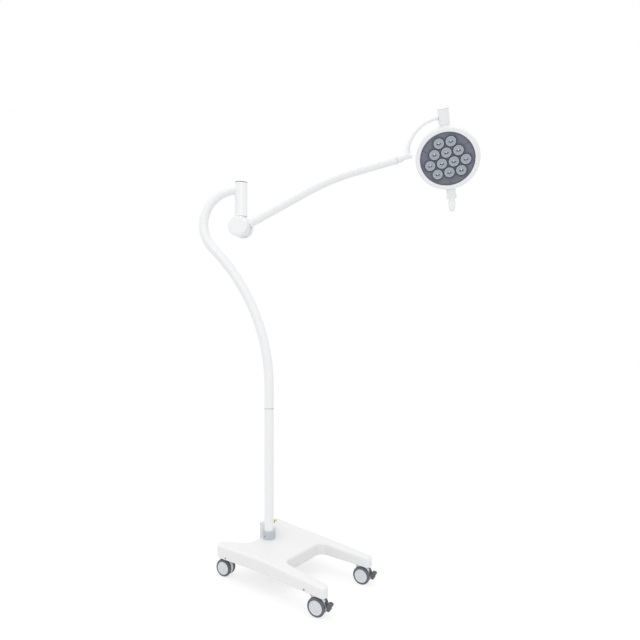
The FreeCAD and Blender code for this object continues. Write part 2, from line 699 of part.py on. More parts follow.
def make_knuckle():
    half = S.knuckle_length / 2
    body = turned("knuckle_body", [(0, -half), (S.knuckle_radius - 1.5, -half), (S.knuckle_radius, 1.5 - half),
                                   (S.knuckle_radius, half), (0, half)], knuckle_frame)
    side = cylinder("knuckle_side_bore", S.yoke_tube - S.yoke_wall + S.run_gap, S.knuckle_radius + 10,
                    tilt_frame * move(x=-S.knuckle_radius - 2) * ALONG_X)
    foot = cylinder("knuckle_stem_bore", S.stem_radius + S.run_gap, S.stem_depth + 1,
                    knuckle_frame * move(z=-half - 1))
    node("knuckle", cut("knuckle", body, fuse("knuckle_bores", [side, foot])))
    cap = turned("knuckle_cap", [(0, half), (S.knuckle_radius, half),
                                 (S.knuckle_radius, half + S.knuckle_cap_thick - 1.5),
                                 (S.knuckle_radius - 1.5, half + S.knuckle_cap_thick),
                                 (0, half + S.knuckle_cap_thick)], knuckle_frame)
    node("knuckle_cap", cap)


def housing_profile(wall):
    radius = S.head_radius - wall
    back = -S.head_back + wall
    return [(0, back), (radius - 47, back), (radius - 17, back + 8), (radius - 3, back + 22),
            (radius, back + 36), (radius, S.bezel_step)]


def make_head():
    outer = turned("housing_outer", housing_profile(0) + [(0, S.bezel_step)], face_frame)
    inner = turned("housing_inner", housing_profile(S.head_wall)[:-1]
                   + [(S.head_radius - S.head_wall, S.bezel_step + 1), (0, S.bezel_step + 1)], face_frame)
    stem_low = S.head_radius - 22
    stem = cylinder("head_stem", S.stem_radius, head_drop - S.knuckle_length / 2 + S.stem_depth - stem_low - 0.5,
                    head_frame * move(z=stem_low))
    node("head_stem", stem)
    make_handle()
    shell = cut("housing_shell", outer, inner)
    node("head_housing", cut("head_housing", shell, stem))
    step = S.bezel_step
    front = S.head_front
    bezel = turned("head_bezel", [(face_radius, step), (S.head_radius, step), (S.head_radius, front - 6),
                                  (S.head_radius - 3, front - 1.5), (S.head_radius - 8, front),
                                  (face_radius + 3, front), (face_radius, front - 1)], face_frame)
    node("head_bezel", bezel)
    saddle = cylinder("saddle_rod", S.saddle_radius, S.saddle_height + 6 - S.face_gap,
                      head_frame * move(z=S.head_radius - 6))
    node("head_saddle", cut("head_saddle", saddle, fuse("saddle_cuts", [outer, bezel, stem])))


def lens_spots():
    """Twelve places in rows of two, three, four and three, from the knuckle's side down."""
    pitch = float(S.lens_pitch)
    rise = pitch * math.sqrt(3) / 2
    rows = (2, 3, 4, 3)
    middle = sum(count * (3 - i) for i, count in enumerate(rows)) / sum(rows)
    spots = []
    for i, count in enumerate(rows):
        for k in range(count):
            spots.append((pitch * (k - (count - 1) / 2), rise * (3 - i - middle)))
    return spots


def make_lights():
    lenses = []
    chips = []
    low = S.lens_base
    top = S.face_step
    board_top = S.board_level + S.board_thick
    for i, (x, y) in enumerate(lens_spots()):
        spot = lens_frame * move(x, y)
        lenses.append(turned("lens_" + str(i), [(0, low), (S.lens_radius - 6, low), (S.lens_radius, top - 4),
                                                (S.lens_radius, top), (S.lens_radius - 5, top + S.lens_dome * 0.8),
                                                (0, top + S.lens_dome)], spot))
        chips.append(block("chip_" + str(i), S.chip_width, S.chip_width, S.chip_thick,
                           spot * move(-S.chip_width / 2, -S.chip_width / 2, board_top)))
    node("led_lenses", group("led_lenses", lenses))
    disc = cylinder("face_disc", face_radius, S.plate_depth, face_frame * move(z=S.face_step - S.plate_depth))
    holes = [cylinder("lens_hole_" + str(i), S.lens_radius, S.plate_depth + 2,
                      lens_frame * move(x, y, S.face_step - S.plate_depth - 1))
             for i, (x, y) in enumerate(lens_spots())]
    node("front_plate", cut("front_plate", disc, group("lens_holes", holes)))
    board = cylinder("board_disc", S.head_radius - S.board_rim, S.board_thick, face_frame * move(z=S.board_level))
    node("led_board", group("led_board", [board] + chips))
    level = S.board_level - S.sink_plate
    plate = cylinder("sink_plate_disc", S.head_radius - S.head_wall - 1.5, S.sink_plate, face_frame * move(z=level))
    fins = []
    count = int(float(S.fin_reach / S.fin_pitch))
    for i in range(-count, count + 1):
        fins.append(block("fin_" + str(i + count), 2 * S.fin_reach, S.fin_thick, S.fin_height + 1,
                          face_frame * move(-S.fin_reach, i * S.fin_pitch - S.fin_thick / 2, level - S.fin_height)))
    sink = cut("sink_drilled", fuse("sink_whole", [plate] + fins), nodes["head_stem"])
    node("heat_sink", sink)


def make_handle():
    rim = -S.head_radius
    tongue = block("bracket_tongue", S.bracket_width, S.bracket_thick, S.bracket_length + 8,
                   head_frame * move(-S.bracket_width / 2, -S.bracket_thick / 2, rim - S.bracket_length))
    boss_low = -S.bracket_width / 2
    eye = cylinder("bracket_eye", S.boss_radius, S.bracket_width,
                   head_frame * move(boss_low, 0, rim - S.bracket_length) * ALONG_X)
    outer = turned("rim_form", housing_profile(0) + [(0, S.bezel_step)], face_frame)
    pin = cylinder("handle_pin", S.handle_pin_radius, S.bracket_width + 3,
                   head_frame * move(boss_low - 1.5, 0, rim - S.bracket_length) * ALONG_X)
    node("handle_pin", pin)
    grip_place = head_frame * move(z=rim - S.bracket_length) * turn(X_AXIS, 180 - S.grip_tilt)
    grip = turned("grip_body", [(0, 0), (S.grip_radius - 3, 0), (S.grip_radius, 12),
                                (S.grip_radius, S.grip_length - 12), (S.grip_radius - 4, S.grip_length - 4),
                                (S.grip_radius - 10, S.grip_length), (0, S.grip_length)], grip_place)
    room = cylinder("grip_room", S.boss_radius, S.bracket_width * 2,
                    head_frame * move(-S.bracket_width, 0, rim - S.bracket_length) * ALONG_X)
    tongue_room = block("tongue_room", S.bracket_width, S.bracket_thick, S.bracket_length,
                        head_frame * move(-S.bracket_width / 2, -S.bracket_thick / 2, rim - S.bracket_length))
    node("handle_grip", cut("handle_grip", grip, fuse("grip_cuts", [room, tongue_room])))
    bracket = fuse("bracket_fused", [tongue, eye])
    node("handle_bracket", cut("handle_bracket", bracket, fuse("bracket_cuts", [outer, pin])))


# Mains inlet box and earth stud behind the pole

def make_inlet():
    back = -S.waist_back - S.box_depth
    width = S.box_left + S.box_right
    height = S.box_top - S.box_low
    corner = move(back, -S.box_right, S.box_low)
    solid = block("box_solid", S.box_depth, width, height, corner)
    hollow = block("box_hollow", S.box_depth - 2 * S.box_wall, width - 2 * S.box_wall, height - 2 * S.box_wall,
                   corner * move(S.box_wall, S.box_wall, S.box_wall))
    window = block("inlet_window", S.box_wall + 2, S.inlet_width, S.inlet_height,
                   move(back - 1, S.inlet_side - S.inlet_width / 2, S.inlet_level - S.inlet_height / 2))
    rocker_window = block("rocker_window", S.box_wall + 2, S.rocker_width + 0.8, S.rocker_height + 0.8,
                          move(back - 1, S.rocker_side - S.rocker_width / 2 - 0.4,
                               S.inlet_level - S.rocker_height / 2 - 0.4))
    stud_place = move(back + S.box_depth / 2, S.box_left, S.stud_level) * ALONG_Y
    stud_hole = cylinder("stud_hole", S.stud_root, 2 * (S.box_wall + 4), stud_place * move(z=-S.box_wall - 4))
    shroud_shape = turned("shroud_body", [(0, 0), (S.shroud_root, 0), (S.shroud_root, 5),
                                          (S.shroud_tip, S.shroud_length), (0, S.shroud_length)], stud_place)
    root_end = S.shroud_length
    free_low = root_end + S.neck_length
    stud = turned("earth_stud", [(0, -S.box_wall - 4), (S.stud_root, -S.box_wall - 4), (S.stud_root, root_end),
                                 (S.stud_neck, root_end), (S.stud_neck, free_low), (S.stud_radius, free_low),
                                 (S.stud_radius, free_low + S.stud_length), (0, free_low + S.stud_length)],
                  stud_place)
    node("earth_shroud", cut("earth_shroud", shroud_shape, stud))
    pin_hole = rocker_pin_place()
    rocker_bores = cylinder("rocker_bores", S.rocker_pin, S.rocker_width + 6, pin_hole)
    node("inlet_box", cut("inlet_box", solid, fuse("box_cuts", [hollow, window, rocker_window, stud_hole,
                                                                  rocker_bores])))
    cup = block("inlet_cup", S.inlet_depth, S.inlet_width, S.inlet_height,
                move(back, S.inlet_side - S.inlet_width / 2, S.inlet_level - S.inlet_height / 2))
    mouth = block("inlet_mouth", S.inlet_depth - S.inlet_floor + 1, S.inlet_width - 2 * S.inlet_wall,
                  S.inlet_height - 2 * S.inlet_wall,
                  move(back - 1, S.inlet_side - S.inlet_width / 2 + S.inlet_wall,
                       S.inlet_level - S.inlet_height / 2 + S.inlet_wall))
    pins = []
    floor = back + S.inlet_depth - S.inlet_floor
    for i, (side, rise) in enumerate(((-1, -2), (1, -2), (0, 3))):
        pins.append(block("mains_pin_" + str(i), S.pin_length, S.pin_width, 4,
                          move(floor - S.pin_length + 2, S.inlet_side + side * S.pin_spacing / 2 - S.pin_width / 2,
                               S.inlet_level + rise - 2)))
    pin_group = group("mains_pin_set", pins)
    node("mains_inlet", cut("mains_inlet", cut("inlet_shell", cup, mouth), pin_group))
    node("contact_pins", group("contact_pins", [pin_group, stud]))


def rocker_pin_place():
    return move(S.box_wall / 2 + 1.5 - S.waist_back - S.box_depth, S.rocker_side - S.rocker_width / 2 - 3,
                S.inlet_level) * ALONG_Y


def make_rocker():
    paddle = slab("rocker_paddle", [(-1.5, S.rocker_height / 2 - 0.4), (-3.5, 0), (-1.5, -S.rocker_height / 2 + 0.4),
                                    (3, -S.rocker_height / 2 + 3), (3, S.rocker_height / 2 - 3)], S.rocker_width,
                  move(S.box_wall / 2 - S.waist_back - S.box_depth, S.rocker_side, S.inlet_level))
    axle = cylinder("rocker_axle", S.rocker_pin - S.run_gap, S.rocker_width + 5,
                    rocker_pin_place() * move(z=0.5))
    node("power_rocker", fuse("power_rocker", [paddle, axle]))


def make_driver():
    low = S.plate_under + S.plate_thick
    node("driver_module", block("driver_module", S.driver_length, S.driver_width, S.driver_height,
                                move(S.driver_front - S.driver_length, -S.driver_side, low)))


# Castors

def castor_place(corner):
    x, y = castor_spots()[corner]
    return move(x, y) * turn(Z_AXIS, S.castor_turn)


def make_castor(corner):
    place = castor_place(corner)
    name = "castor_" + corner
    axle_spot = place * move(x=S.castor_trail, z=S.wheel_radius)
    braked = corner.startswith("front")
    web_width = 2 * S.web_half
    disc = cylinder(name + "_web", S.web_radius, web_width, axle_spot * move(y=-S.web_half) * ALONG_Y)
    top = S.hood_top - S.hood_disc_thick
    riser = block(name + "_riser", 2 * S.stem_pin + 8, web_width, top - S.wheel_radius,
                  place * move(-S.stem_pin - 4, -S.web_half, S.wheel_radius))
    plate = cylinder(name + "_plate", S.hood_disc, S.hood_disc_thick, place * move(z=top))
    hood = fuse(name + "_whole", [disc, riser, plate])
    stem = cylinder(name + "_stem", S.stem_pin, S.stem_top - S.wheel_radius - 12,
                    place * move(z=S.wheel_radius + 12))
    reach = S.wheel_gap + S.wheel_width - 3
    axle = cylinder(name + "_axle", S.axle_radius, 2 * reach, axle_spot * move(y=-reach) * ALONG_Y)
    pins = [stem, axle]
    cuts = [stem, axle]
    if braked:
        pivot = place * move(x=S.castor_trail + S.pedal_pivot, z=S.pedal_rise)
        pins.append(cylinder(name + "_pedal_pin", S.pedal_pin, web_width, pivot * move(y=-S.web_half) * ALONG_Y))
        cuts.append(pins[-1])
        cuts.append(block(name + "_slot", 24, 2 * S.pedal_slot, 42,
                          pivot * move(-9, -S.pedal_slot, -28)))
        make_pedal(name, pivot)
    node(name + "_pins", group(name + "_pins", pins))
    node(name + "_hood", cut(name + "_hood", hood, fuse(name + "_cuts", cuts)))
    tyres = []
    discs = []
    for side, facing in (("near", 1), ("far", -1)):
        spot = axle_spot * turn(X_AXIS, -90 * facing) * move(z=S.wheel_gap)
        rim = S.wheel_radius - S.tyre_depth
        tyres.append(turned(name + "_tyre_" + side, [
            (rim, 1), (S.wheel_radius - 2, 1), (S.wheel_radius, 3), (S.wheel_radius, S.wheel_width - 4),
            (S.wheel_radius - 3, S.wheel_width - 0.5), (rim, S.wheel_width)], spot))
        bore = S.axle_radius + S.run_gap
        discs.append(turned(name + "_disc_" + side, [
            (bore, 0), (14, 0), (14, 4), (rim - 3, 4), (rim - 3, 1), (rim, 1), (rim, S.wheel_width),
            (rim - 2, S.wheel_width), (rim - 3, S.wheel_width - S.hub_dish), (0, S.wheel_width - S.hub_dish + 0.5),
            (0, S.wheel_width - 2.7), (bore, S.wheel_width - 2.7)], spot))
    node(name + "_tyres", group(name + "_tyres", tyres))
    node(name + "_wheels", group(name + "_wheels", discs))


def make_pedal(name, pivot):
    arm = slab(name + "_pedal_arm", [(-5, 4), (0, 6), (8, 5), (16, 4), (16, -22), (12, -24), (8, -12), (4, -5),
                                     (-4, -4)],
               2 * S.pedal_arm_half, pivot)
    reach = S.pedal_reach - S.pedal_pivot
    pad = slab(name + "_pedal_pad", [(14.5, -6), (14.5, 4), (18, 7), (reach, 3), (reach, -2), (20, -8)],
               2 * S.pedal_half, pivot)
    hole = cylinder(name + "_pedal_bore", S.pedal_pin + S.run_gap, 20, pivot * move(y=-10) * ALONG_Y)
    node(name + "_pedal", cut(name + "_pedal", fuse(name + "_pedal_whole", [arm, pad]), hole))


def make_all():
    screws = make_cover_screws()
    make_base_cover()
    make_chassis(screws)
    make_counterweight()
    foot_bolts = make_pole_foot()
    collar_screw = make_collar()
    node("base_screws", group("base_screws", [shaped("cover_screws", screws), foot_bolts, collar_screw]))
    make_lower_pole()
    make_mast()
    make_sleeve()
    make_turret()
    make_arm()
    make_yoke()
    make_knuckle()
    make_head()
    make_lights()
    make_inlet()
    make_rocker()
    make_driver()
    for corner in castor_spots():
        make_castor(corner)


def whole_box():
    box = FreeCAD.BoundBox()
    for item in nodes.values():
        box.add(item.Shape.optimalBoundingBox(False, False))
    return box


def check_and_export():
    faults = []
    for item in doc.Objects:
        if "Invalid" in item.State or "Error" in item.State:
            faults.append(item.Label + " " + str(item.State))
    for label, item in nodes.items():
        shape = item.Shape
        if shape.isNull() or not shape.isValid() or not shape.Solids:
            faults.append(label + " has no valid solid")
    if faults:
        raise RuntimeError("; ".join(faults))
    for label, item in nodes.items():
        item.Shape.exportStep("parts/" + label + ".step")
        print(label, len(item.Shape.Solids), round(item.Shape.Volume / 1000, 1), "cm3")


make_all()
doc.recompute()
check_and_export()
print("nodes", len(nodes), "middle of the box", whole_box().Center)
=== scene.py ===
import json
import bmesh
import bpy
import numpy as np
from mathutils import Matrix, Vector
from mathutils.geometry import delaunay_2d_cdt


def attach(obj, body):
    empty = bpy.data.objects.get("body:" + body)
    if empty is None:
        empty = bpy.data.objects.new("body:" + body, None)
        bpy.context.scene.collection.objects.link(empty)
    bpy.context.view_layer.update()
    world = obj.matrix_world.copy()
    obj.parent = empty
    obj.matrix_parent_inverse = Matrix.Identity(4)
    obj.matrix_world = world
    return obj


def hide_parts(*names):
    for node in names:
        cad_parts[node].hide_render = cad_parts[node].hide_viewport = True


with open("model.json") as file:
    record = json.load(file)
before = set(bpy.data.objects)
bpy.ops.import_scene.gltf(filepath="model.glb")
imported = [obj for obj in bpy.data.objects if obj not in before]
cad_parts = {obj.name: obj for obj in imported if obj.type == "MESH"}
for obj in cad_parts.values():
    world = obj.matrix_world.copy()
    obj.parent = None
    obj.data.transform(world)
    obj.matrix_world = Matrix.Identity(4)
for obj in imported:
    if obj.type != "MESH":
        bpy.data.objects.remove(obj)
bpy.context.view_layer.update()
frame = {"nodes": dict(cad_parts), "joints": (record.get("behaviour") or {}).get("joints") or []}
nodes = frame["nodes"]
joints = {joint["name"]: joint for joint in frame["joints"]}
print("frame loaded,", len(nodes), "nodes")


# Places: 4 x 4 matrices in the row frame, in metres

def shifted(x=0.0, y=0.0, z=0.0):
    m = np.eye(4)
    m[:3, 3] = (x, y, z)
    return m


def turned(axis, degrees):
    angle = np.radians(degrees)
    i, j = {"x": (1, 2), "y": (2, 0), "z": (0, 1)}[axis]
    m = np.eye(4)
    m[i, i] = m[j, j] = np.cos(angle)
    m[i, j], m[j, i] = -np.sin(angle), np.sin(angle)
    return m


def axesFrame(at, x, y, z):
    m = np.eye(4)
    m[:3, 0], m[:3, 1], m[:3, 2], m[:3, 3] = x, y, z, at
    return m


def jointAt(name):
    return np.array(joints[name]["pos_m"])


def jointAxis(name):
    return np.array(joints[name]["axis"])


stance = {"mastTurn": 38.6, "armOffset": 0.0085, "endStep": 0.020, "yokeRoll": 17.2, "knuckleTilt": 17.1,
    "knuckleLean": 4.7, "headTurn": -10.2, "headDrop": 0.174, "lensTurn": 3.0, "castorTurn": 12.0}
up = np.array([0.0, 0.0, 1.0])
alongX = turned("y", 90)
alongY = turned("x", -90)
poleX, poleY = jointAt("mast_swivel")[:2]
poleFrame = shifted(poleX, poleY)
mastFrame = poleFrame @ turned("z", stance["mastTurn"])
sleeveFrame = shifted(*jointAt("arm_swivel")[:2]) @ turned("z", stance["mastTurn"])
armY = jointAxis("arm_tilt")
armLine = axesFrame(jointAt("arm_tilt"), np.cross(armY, up), armY, up)
drumFrame = armLine @ shifted(y=-stance["armOffset"])
endX = jointAxis("yoke_roll")
endFrame = axesFrame(jointAt("yoke_roll") - endX * stance["endStep"], endX, armY, np.cross(endX, armY))
yokeFrame = endFrame @ turned("x", stance["yokeRoll"])
tiltFrame = yokeFrame.copy()
tiltFrame[:3, 3] = jointAt("head_tilt")
knuckleFrame = tiltFrame @ turned("x", stance["knuckleTilt"]) @ turned("y", stance["knuckleLean"])
headFrame = knuckleFrame @ turned("z", stance["headTurn"]) @ shifted(z=-stance["headDrop"])
faceFrame = headFrame @ turned("x", 90)
lensFrame = faceFrame @ turned("z", stance["lensTurn"])
corners = ("front_left", "front_right", "rear_left", "rear_right")
castorFrames = {corner: shifted(*jointAt(corner + "_castor_swivel")[:2]) @ turned("z",
    stance["castorTurn"]) for corner in corners}


# Surfaces: each is (points, list of faces), worked out as whole arrays

def placed(m, points):
    return points @ m[:3, :3].T + m[:3, 3]


def insideOut(points, faces):
    # signed volume by fans: a sixth of the sum of a . (b x c)
    total = 0.0
    for group in faces:
        for k in range(1, group.shape[1] - 1):
            a, b, c = points[group[:, 0]], points[group[:, k]], points[group[:, k + 1]]
            total += np.einsum("ij,ij->i", a, np.cross(b, c)).sum()
    return total < 0


def ringSurface(rings, first="gon", last="gon", wrap=False):
    # ring k joined to ring k + 1 by quads; wrap joins the last ring to the first; a gon shuts an end
    n, m = rings.shape[:2]
    index = np.arange(n * m).reshape(n, m)
    following = np.roll(index, -1, axis=0) if wrap else index[1:]
    here = index if wrap else index[:-1]
    quads = np.stack([here, np.roll(here, -1, axis=1), np.roll(following, -1, axis=1), following], -1)
    groups = [quads.reshape(-1, 4)]
    if not wrap:
        if first == "gon":
            groups.append(index[0][::-1].reshape(1, m))
        if last == "gon":
            groups.append(index[-1].reshape(1, m))
    points = rings.reshape(-1, 3)
    if insideOut(points, groups):
        groups = [group[:, ::-1] for group in groups]
    return points, [face for group in groups for face in group.tolist()]


def roundedLoop(cornerList, steps=6, closed=True):
    # every corner (x, y, radius) becomes an arc tangent to its two sides; also the outward normals
    cornerList = np.array(cornerList, float)
    spots, sides = cornerList[:, :2], []
    points, normals = [], []
    count = len(spots)
    area = 0.5 * np.sum(spots[:, 0] * np.roll(spots[:, 1], -1) - np.roll(spots[:, 0], -1) * spots[:, 1])
    outward = np.sign(area) if closed else 1.0
    for i in range(count):
        if not closed and i in (0, count - 1):
            along = spots[1] - spots[0] if i == 0 else spots[-1] - spots[-2]
            along = along / np.linalg.norm(along)
            points.append(spots[i])
            normals.append(np.array([along[1], -along[0]]) * outward)
            continue
        back, ahead = spots[i - 1] - spots[i], spots[(i + 1) % count] - spots[i]
        backSize, aheadSize = np.linalg.norm(back), np.linalg.norm(ahead)
        back, ahead = back / backSize, ahead / aheadSize
        turnSign = np.sign(ahead[0] * back[1] - ahead[1] * back[0]) * outward
        half = np.arccos(np.clip(back @ ahead, -1, 1)) / 2
        if half > np.pi / 2 - 1e-4:
            continue
        radius = min(cornerList[i, 2], 0.495 * min(backSize, aheadSize) * np.tan(half))
        centre = spots[i] + (back + ahead) / np.linalg.norm(back + ahead) * radius / np.sin(half)
        start = spots[i] + back * radius / np.tan(half) - centre
        swing = (np.pi - 2 * half) * turnSign * outward
        pieces = max(2, int(np.ceil(steps * (np.pi - 2 * half) / (np.pi / 2)))) + 1
        angles = np.linspace(0, swing, pieces)
        turn = np.stack([start[0] * np.cos(angles) - start[1] * np.sin(angles),
            start[0] * np.sin(angles) + start[1] * np.cos(angles)], -1)
        points.extend(centre + turn)
        normals.extend(turn / radius * turnSign)
    return np.array(points), np.array(normals)


def around(count):
    return np.linspace(0, 2 * np.pi, count, endpoint=False)


def turnedRings(line, count):
    # every (radius, height) of the line becomes a circle of points
    angles = around(count)
    return np.stack([np.outer(line[:, 0], np.cos(angles)), np.outer(line[:, 0], np.sin(angles)),
        np.repeat(line[:, 1:2], count, 1)], -1)


def lathe(m, profile, count=72, steps=5, ring=False):
    # (radius, height, rounding) corners turned about the local z axis; ring is a shut profile
    line, _ = roundedLoop(profile, steps, closed=ring)
    return ringSurface(placed(m, turnedRings(line, count)), wrap=ring)


def disc(m, radius, low, high, edge, count=72, steps=4):
    # a round plate with soft edges; short flats next to each edge keep its faces flat
    inner = radius - edge - 0.0008
    return lathe(m, [(inner, low, 0), (radius, low, edge), (radius, high, edge), (inner, high, 0)], count,
        steps)


def plate(m, outline, low, high, edge, steps=4):
    # a loop in the local xy plane, carried from low to high, with its edges rounded by insetting the loop
    points, normals = outline
    angles = np.linspace(0, np.pi / 2, steps + 1)
    inset = np.concatenate([[edge * 1.3], edge * (1 - np.sin(angles)), edge * (1 - np.cos(angles)),
        [edge * 1.3]])
    height = np.concatenate([[low], low + edge * (1 - np.cos(angles)), high - edge * (1 - np.sin(angles)),
        [high]])
    flat = points[None] - normals[None] * inset[:, None, None]
    rings = np.concatenate([flat, np.broadcast_to(height[:, None, None], flat.shape[:2] + (1,))], -1)
    return ringSurface(placed(m, rings))


def softBlock(m, size, corner, edge):
    # a box centred in x and y that stands on z = 0
    x, y = size[0] / 2, size[1] / 2
    loop = roundedLoop([(-x, -y, corner), (x, -y, corner), (x, y, corner), (-x, y, corner)])
    return plate(m, loop, 0, size[2], edge)


def bentPath(parts, start, heading, step=0.006):
    # runs and tangent arcs in the local xz plane: the points and the heading at each
    points, headings = [], []
    at, angle = np.array(start, float), np.radians(heading)
    for part in parts:
        ahead = np.array([np.cos(angle), np.sin(angle)])
        if part[0] == "run":
            share = np.linspace(0, 1, 4)
            points.append(at + np.outer(share * part[1], ahead))
            headings.append(np.full(4, angle))
            at = at + ahead * part[1]
            continue
        radius, swing = part[1], np.radians(part[2])
        side = np.sign(swing)
        centre = at + np.array([-ahead[1], ahead[0]]) * radius * side
        now = angle + np.linspace(0, swing, max(6, int(abs(swing) * radius / step)))
        line = centre + np.stack([np.sin(now), -np.cos(now)], -1) * radius * side
        points.append(line)
        headings.append(now)
        at, angle = line[-1], now[-1]
    points, headings = np.concatenate(points), np.concatenate(headings)
    keep = np.concatenate([[True], np.linalg.norm(np.diff(points, axis=0), axis=1) > 1e-6])
    return points[keep], headings[keep]


def pipe(m, path, radius, count=48):
    # a circle carried along the path, square to it
    points, headings = path
    angles = around(count)
    radius = np.broadcast_to(radius, len(points))
    across = np.outer(radius, np.cos(angles))
    rings = np.stack([points[:, 0:1] - across * np.sin(headings)[:, None], np.outer(radius, np.sin(angles)),
        points[:, 1:2] + across * np.cos(headings)[:, None]], -1)
    return ringSurface(placed(m, rings))


def linked(name, data):
    item = bpy.data.objects.new(name, data)
    bpy.context.scene.collection.objects.link(item)
    return item


edgeLook = {"sharpAbove": 38, "bevelAbove": 34, "segments": 3}


def smooth(mesh, degrees):
    mesh.shade_smooth()
    mesh.set_sharp_from_angle(angle=np.radians(degrees))


def pieceOf(mesh, material, body, stands, bevel=None):
    # an object on its body, with soft edges of width bevel where one is given
    smooth(mesh, edgeLook["bevelAbove"] if bevel else edgeLook["sharpAbove"])
    mesh.materials.clear()
    mesh.materials.append(material)
    item = linked(mesh.name, mesh)
    if bevel:
        soft = item.modifiers.new("softEdges", "BEVEL")
        soft.width = bevel
        soft.segments = edgeLook["segments"]
        soft.limit_method = "ANGLE"
        soft.angle_limit = np.radians(edgeLook["bevelAbove"])
    item.modifiers.new("flatFaces", "WEIGHTED_NORMAL").keep_sharp = True
    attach(item, body)
    if stands:
        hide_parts(*stands)
    return item


def piece(name, surfaces, look, body, stands=()):
    points, faces, base = [], [], 0
    for surfacePoints, surfaceFaces in surfaces:
        points.append(surfacePoints)
        faces.extend([[index + base for index in face] for face in surfaceFaces])
        base += len(surfacePoints)
    mesh = bpy.data.meshes.new(name)
    mesh.from_pydata(np.concatenate(points).tolist(), [], faces)
    return pieceOf(mesh, finish[look], body, stands)


# Finishes

def groupWith(name, inputs, outputs):
    group = bpy.data.node_groups.new(name, "ShaderNodeTree")
    for label, kind, value in inputs:
        socket = group.interface.new_socket(label, in_out="INPUT", socket_type=kind)
        socket.default_value = value
    for label, kind in outputs:
        group.interface.new_socket(label, in_out="OUTPUT", socket_type=kind)
    return group, group.nodes.new("NodeGroupInput"), group.nodes.new("NodeGroupOutput")


def mathNode(tree, operation, first, second=None):
    node = tree.nodes.new("ShaderNodeMath")
    node.operation = operation
    for socket, value in zip(node.inputs, (first, second)):
        if value is None:
            continue
        if isinstance(value, (int, float)):
            socket.default_value = value
        else:
            tree.links.new(value, socket)
    return node.outputs[0]


def noiseNode(tree, vector, scale, detail=3.0):
    node = tree.nodes.new("ShaderNodeTexNoise")
    tree.links.new(vector, node.inputs["Vector"])
    if isinstance(scale, (int, float)):
        node.inputs["Scale"].default_value = scale
    else:
        tree.links.new(scale, node.inputs["Scale"])
    node.inputs["Detail"].default_value = detail
    return node.outputs["Fac"]


def mixColour(tree, share, first, second):
    node = tree.nodes.new("ShaderNodeMix")
    node.data_type = "RGBA"
    tree.links.new(share, node.inputs[0])
    for socket, value in ((node.inputs[6], first), (node.inputs[7], second)):
        if isinstance(value, tuple):
            socket.default_value = value
        else:
            tree.links.new(value, socket)
    return node.outputs[2]


def makeSkinGroup():
    # fine orange peel for the height, a slow drift of tone, and dust that thins with height above the floor
    group, given, result = groupWith("paintSkin", [("Colour", "NodeSocketColor", (0.8, 0.8, 0.8, 1)),
        ("Soiled", "NodeSocketColor", (0.5, 0.5, 0.5, 1)), ("Grain", "NodeSocketFloat", 900.0),
        ("Drift", "NodeSocketFloat", 0.04), ("Dust", "NodeSocketFloat", 0.0),
        ("Rough", "NodeSocketFloat", 0.35), ("Rough Range", "NodeSocketFloat", 0.08)],
        [("Colour", "NodeSocketColor"), ("Rough", "NodeSocketFloat"), ("Height", "NodeSocketFloat")])
    where = group.nodes.new("ShaderNodeTexCoord").outputs["Object"]
    fine = noiseNode(group, where, given.outputs["Grain"], 2.0)
    slow = noiseNode(group, where, 7.0, 4.0)
    smudge = noiseNode(group, where, 42.0, 5.0)
    split = group.nodes.new("ShaderNodeSeparateXYZ")
    group.links.new(where, split.inputs[0])
    low = mathNode(group, "SUBTRACT", 1.0, mathNode(group, "MULTIPLY", split.outputs["Z"], 5.0))
    low = mathNode(group, "MAXIMUM", low, 0.12)
    patch = mathNode(group, "MULTIPLY", smudge, mathNode(group, "MULTIPLY", low, given.outputs["Dust"]))
    share = mathNode(group, "ADD", mathNode(group, "MULTIPLY", slow, given.outputs["Drift"]), patch)
    group.links.new(mixColour(group, share, given.outputs["Colour"], given.outputs["Soiled"]),
        result.inputs["Colour"])
    swing = mathNode(group, "MULTIPLY", mathNode(group, "SUBTRACT", smudge, 0.5),
        given.outputs["Rough Range"])
    group.links.new(mathNode(group, "ADD", given.outputs["Rough"], swing), result.inputs["Rough"])
    group.links.new(fine, result.inputs["Height"])
    return group


skinGroup = makeSkinGroup()


def startMaterial(name):
    material = bpy.data.materials.new(name)
    material.use_nodes = True
    tree = material.node_tree
    return material, tree, tree.nodes["Principled BSDF"]


def setInputs(node, values):
    for label, value in values.items():
        node.inputs[label].default_value = value


def skinMaterial(name, look):
    # what a look leaves out has the value given here
    material, tree, shader = startMaterial(name)
    skin = tree.nodes.new("ShaderNodeGroup")
    skin.node_tree = skinGroup
    soiled = look.get("soiled", [c * 0.72 for c in look["colour"]])
    setInputs(skin, {"Colour": (*look["colour"], 1), "Soiled": (*soiled, 1), "Rough": look["rough"],
                     "Grain": look.get("grain", 900.0), "Drift": look.get("drift", 0.04),
                     "Dust": look.get("dust", 0.0), "Rough Range": look.get("roughRange", 0.08)})
    bump = tree.nodes.new("ShaderNodeBump")
    setInputs(bump, {"Strength": look.get("bump", 0.12), "Distance": look.get("depth", 0.0002)})
    tree.links.new(skin.outputs["Height"], bump.inputs["Height"])
    tree.links.new(skin.outputs["Colour"], shader.inputs["Base Color"])
    tree.links.new(skin.outputs["Rough"], shader.inputs["Roughness"])
    tree.links.new(bump.outputs["Normal"], shader.inputs["Normal"])
    setInputs(shader, {"Metallic": look.get("metal", 0.0), "Coat Weight": look.get("coat", 0.0),
        "Coat Roughness": 0.12, "Specular IOR Level": 0.5})
    return material


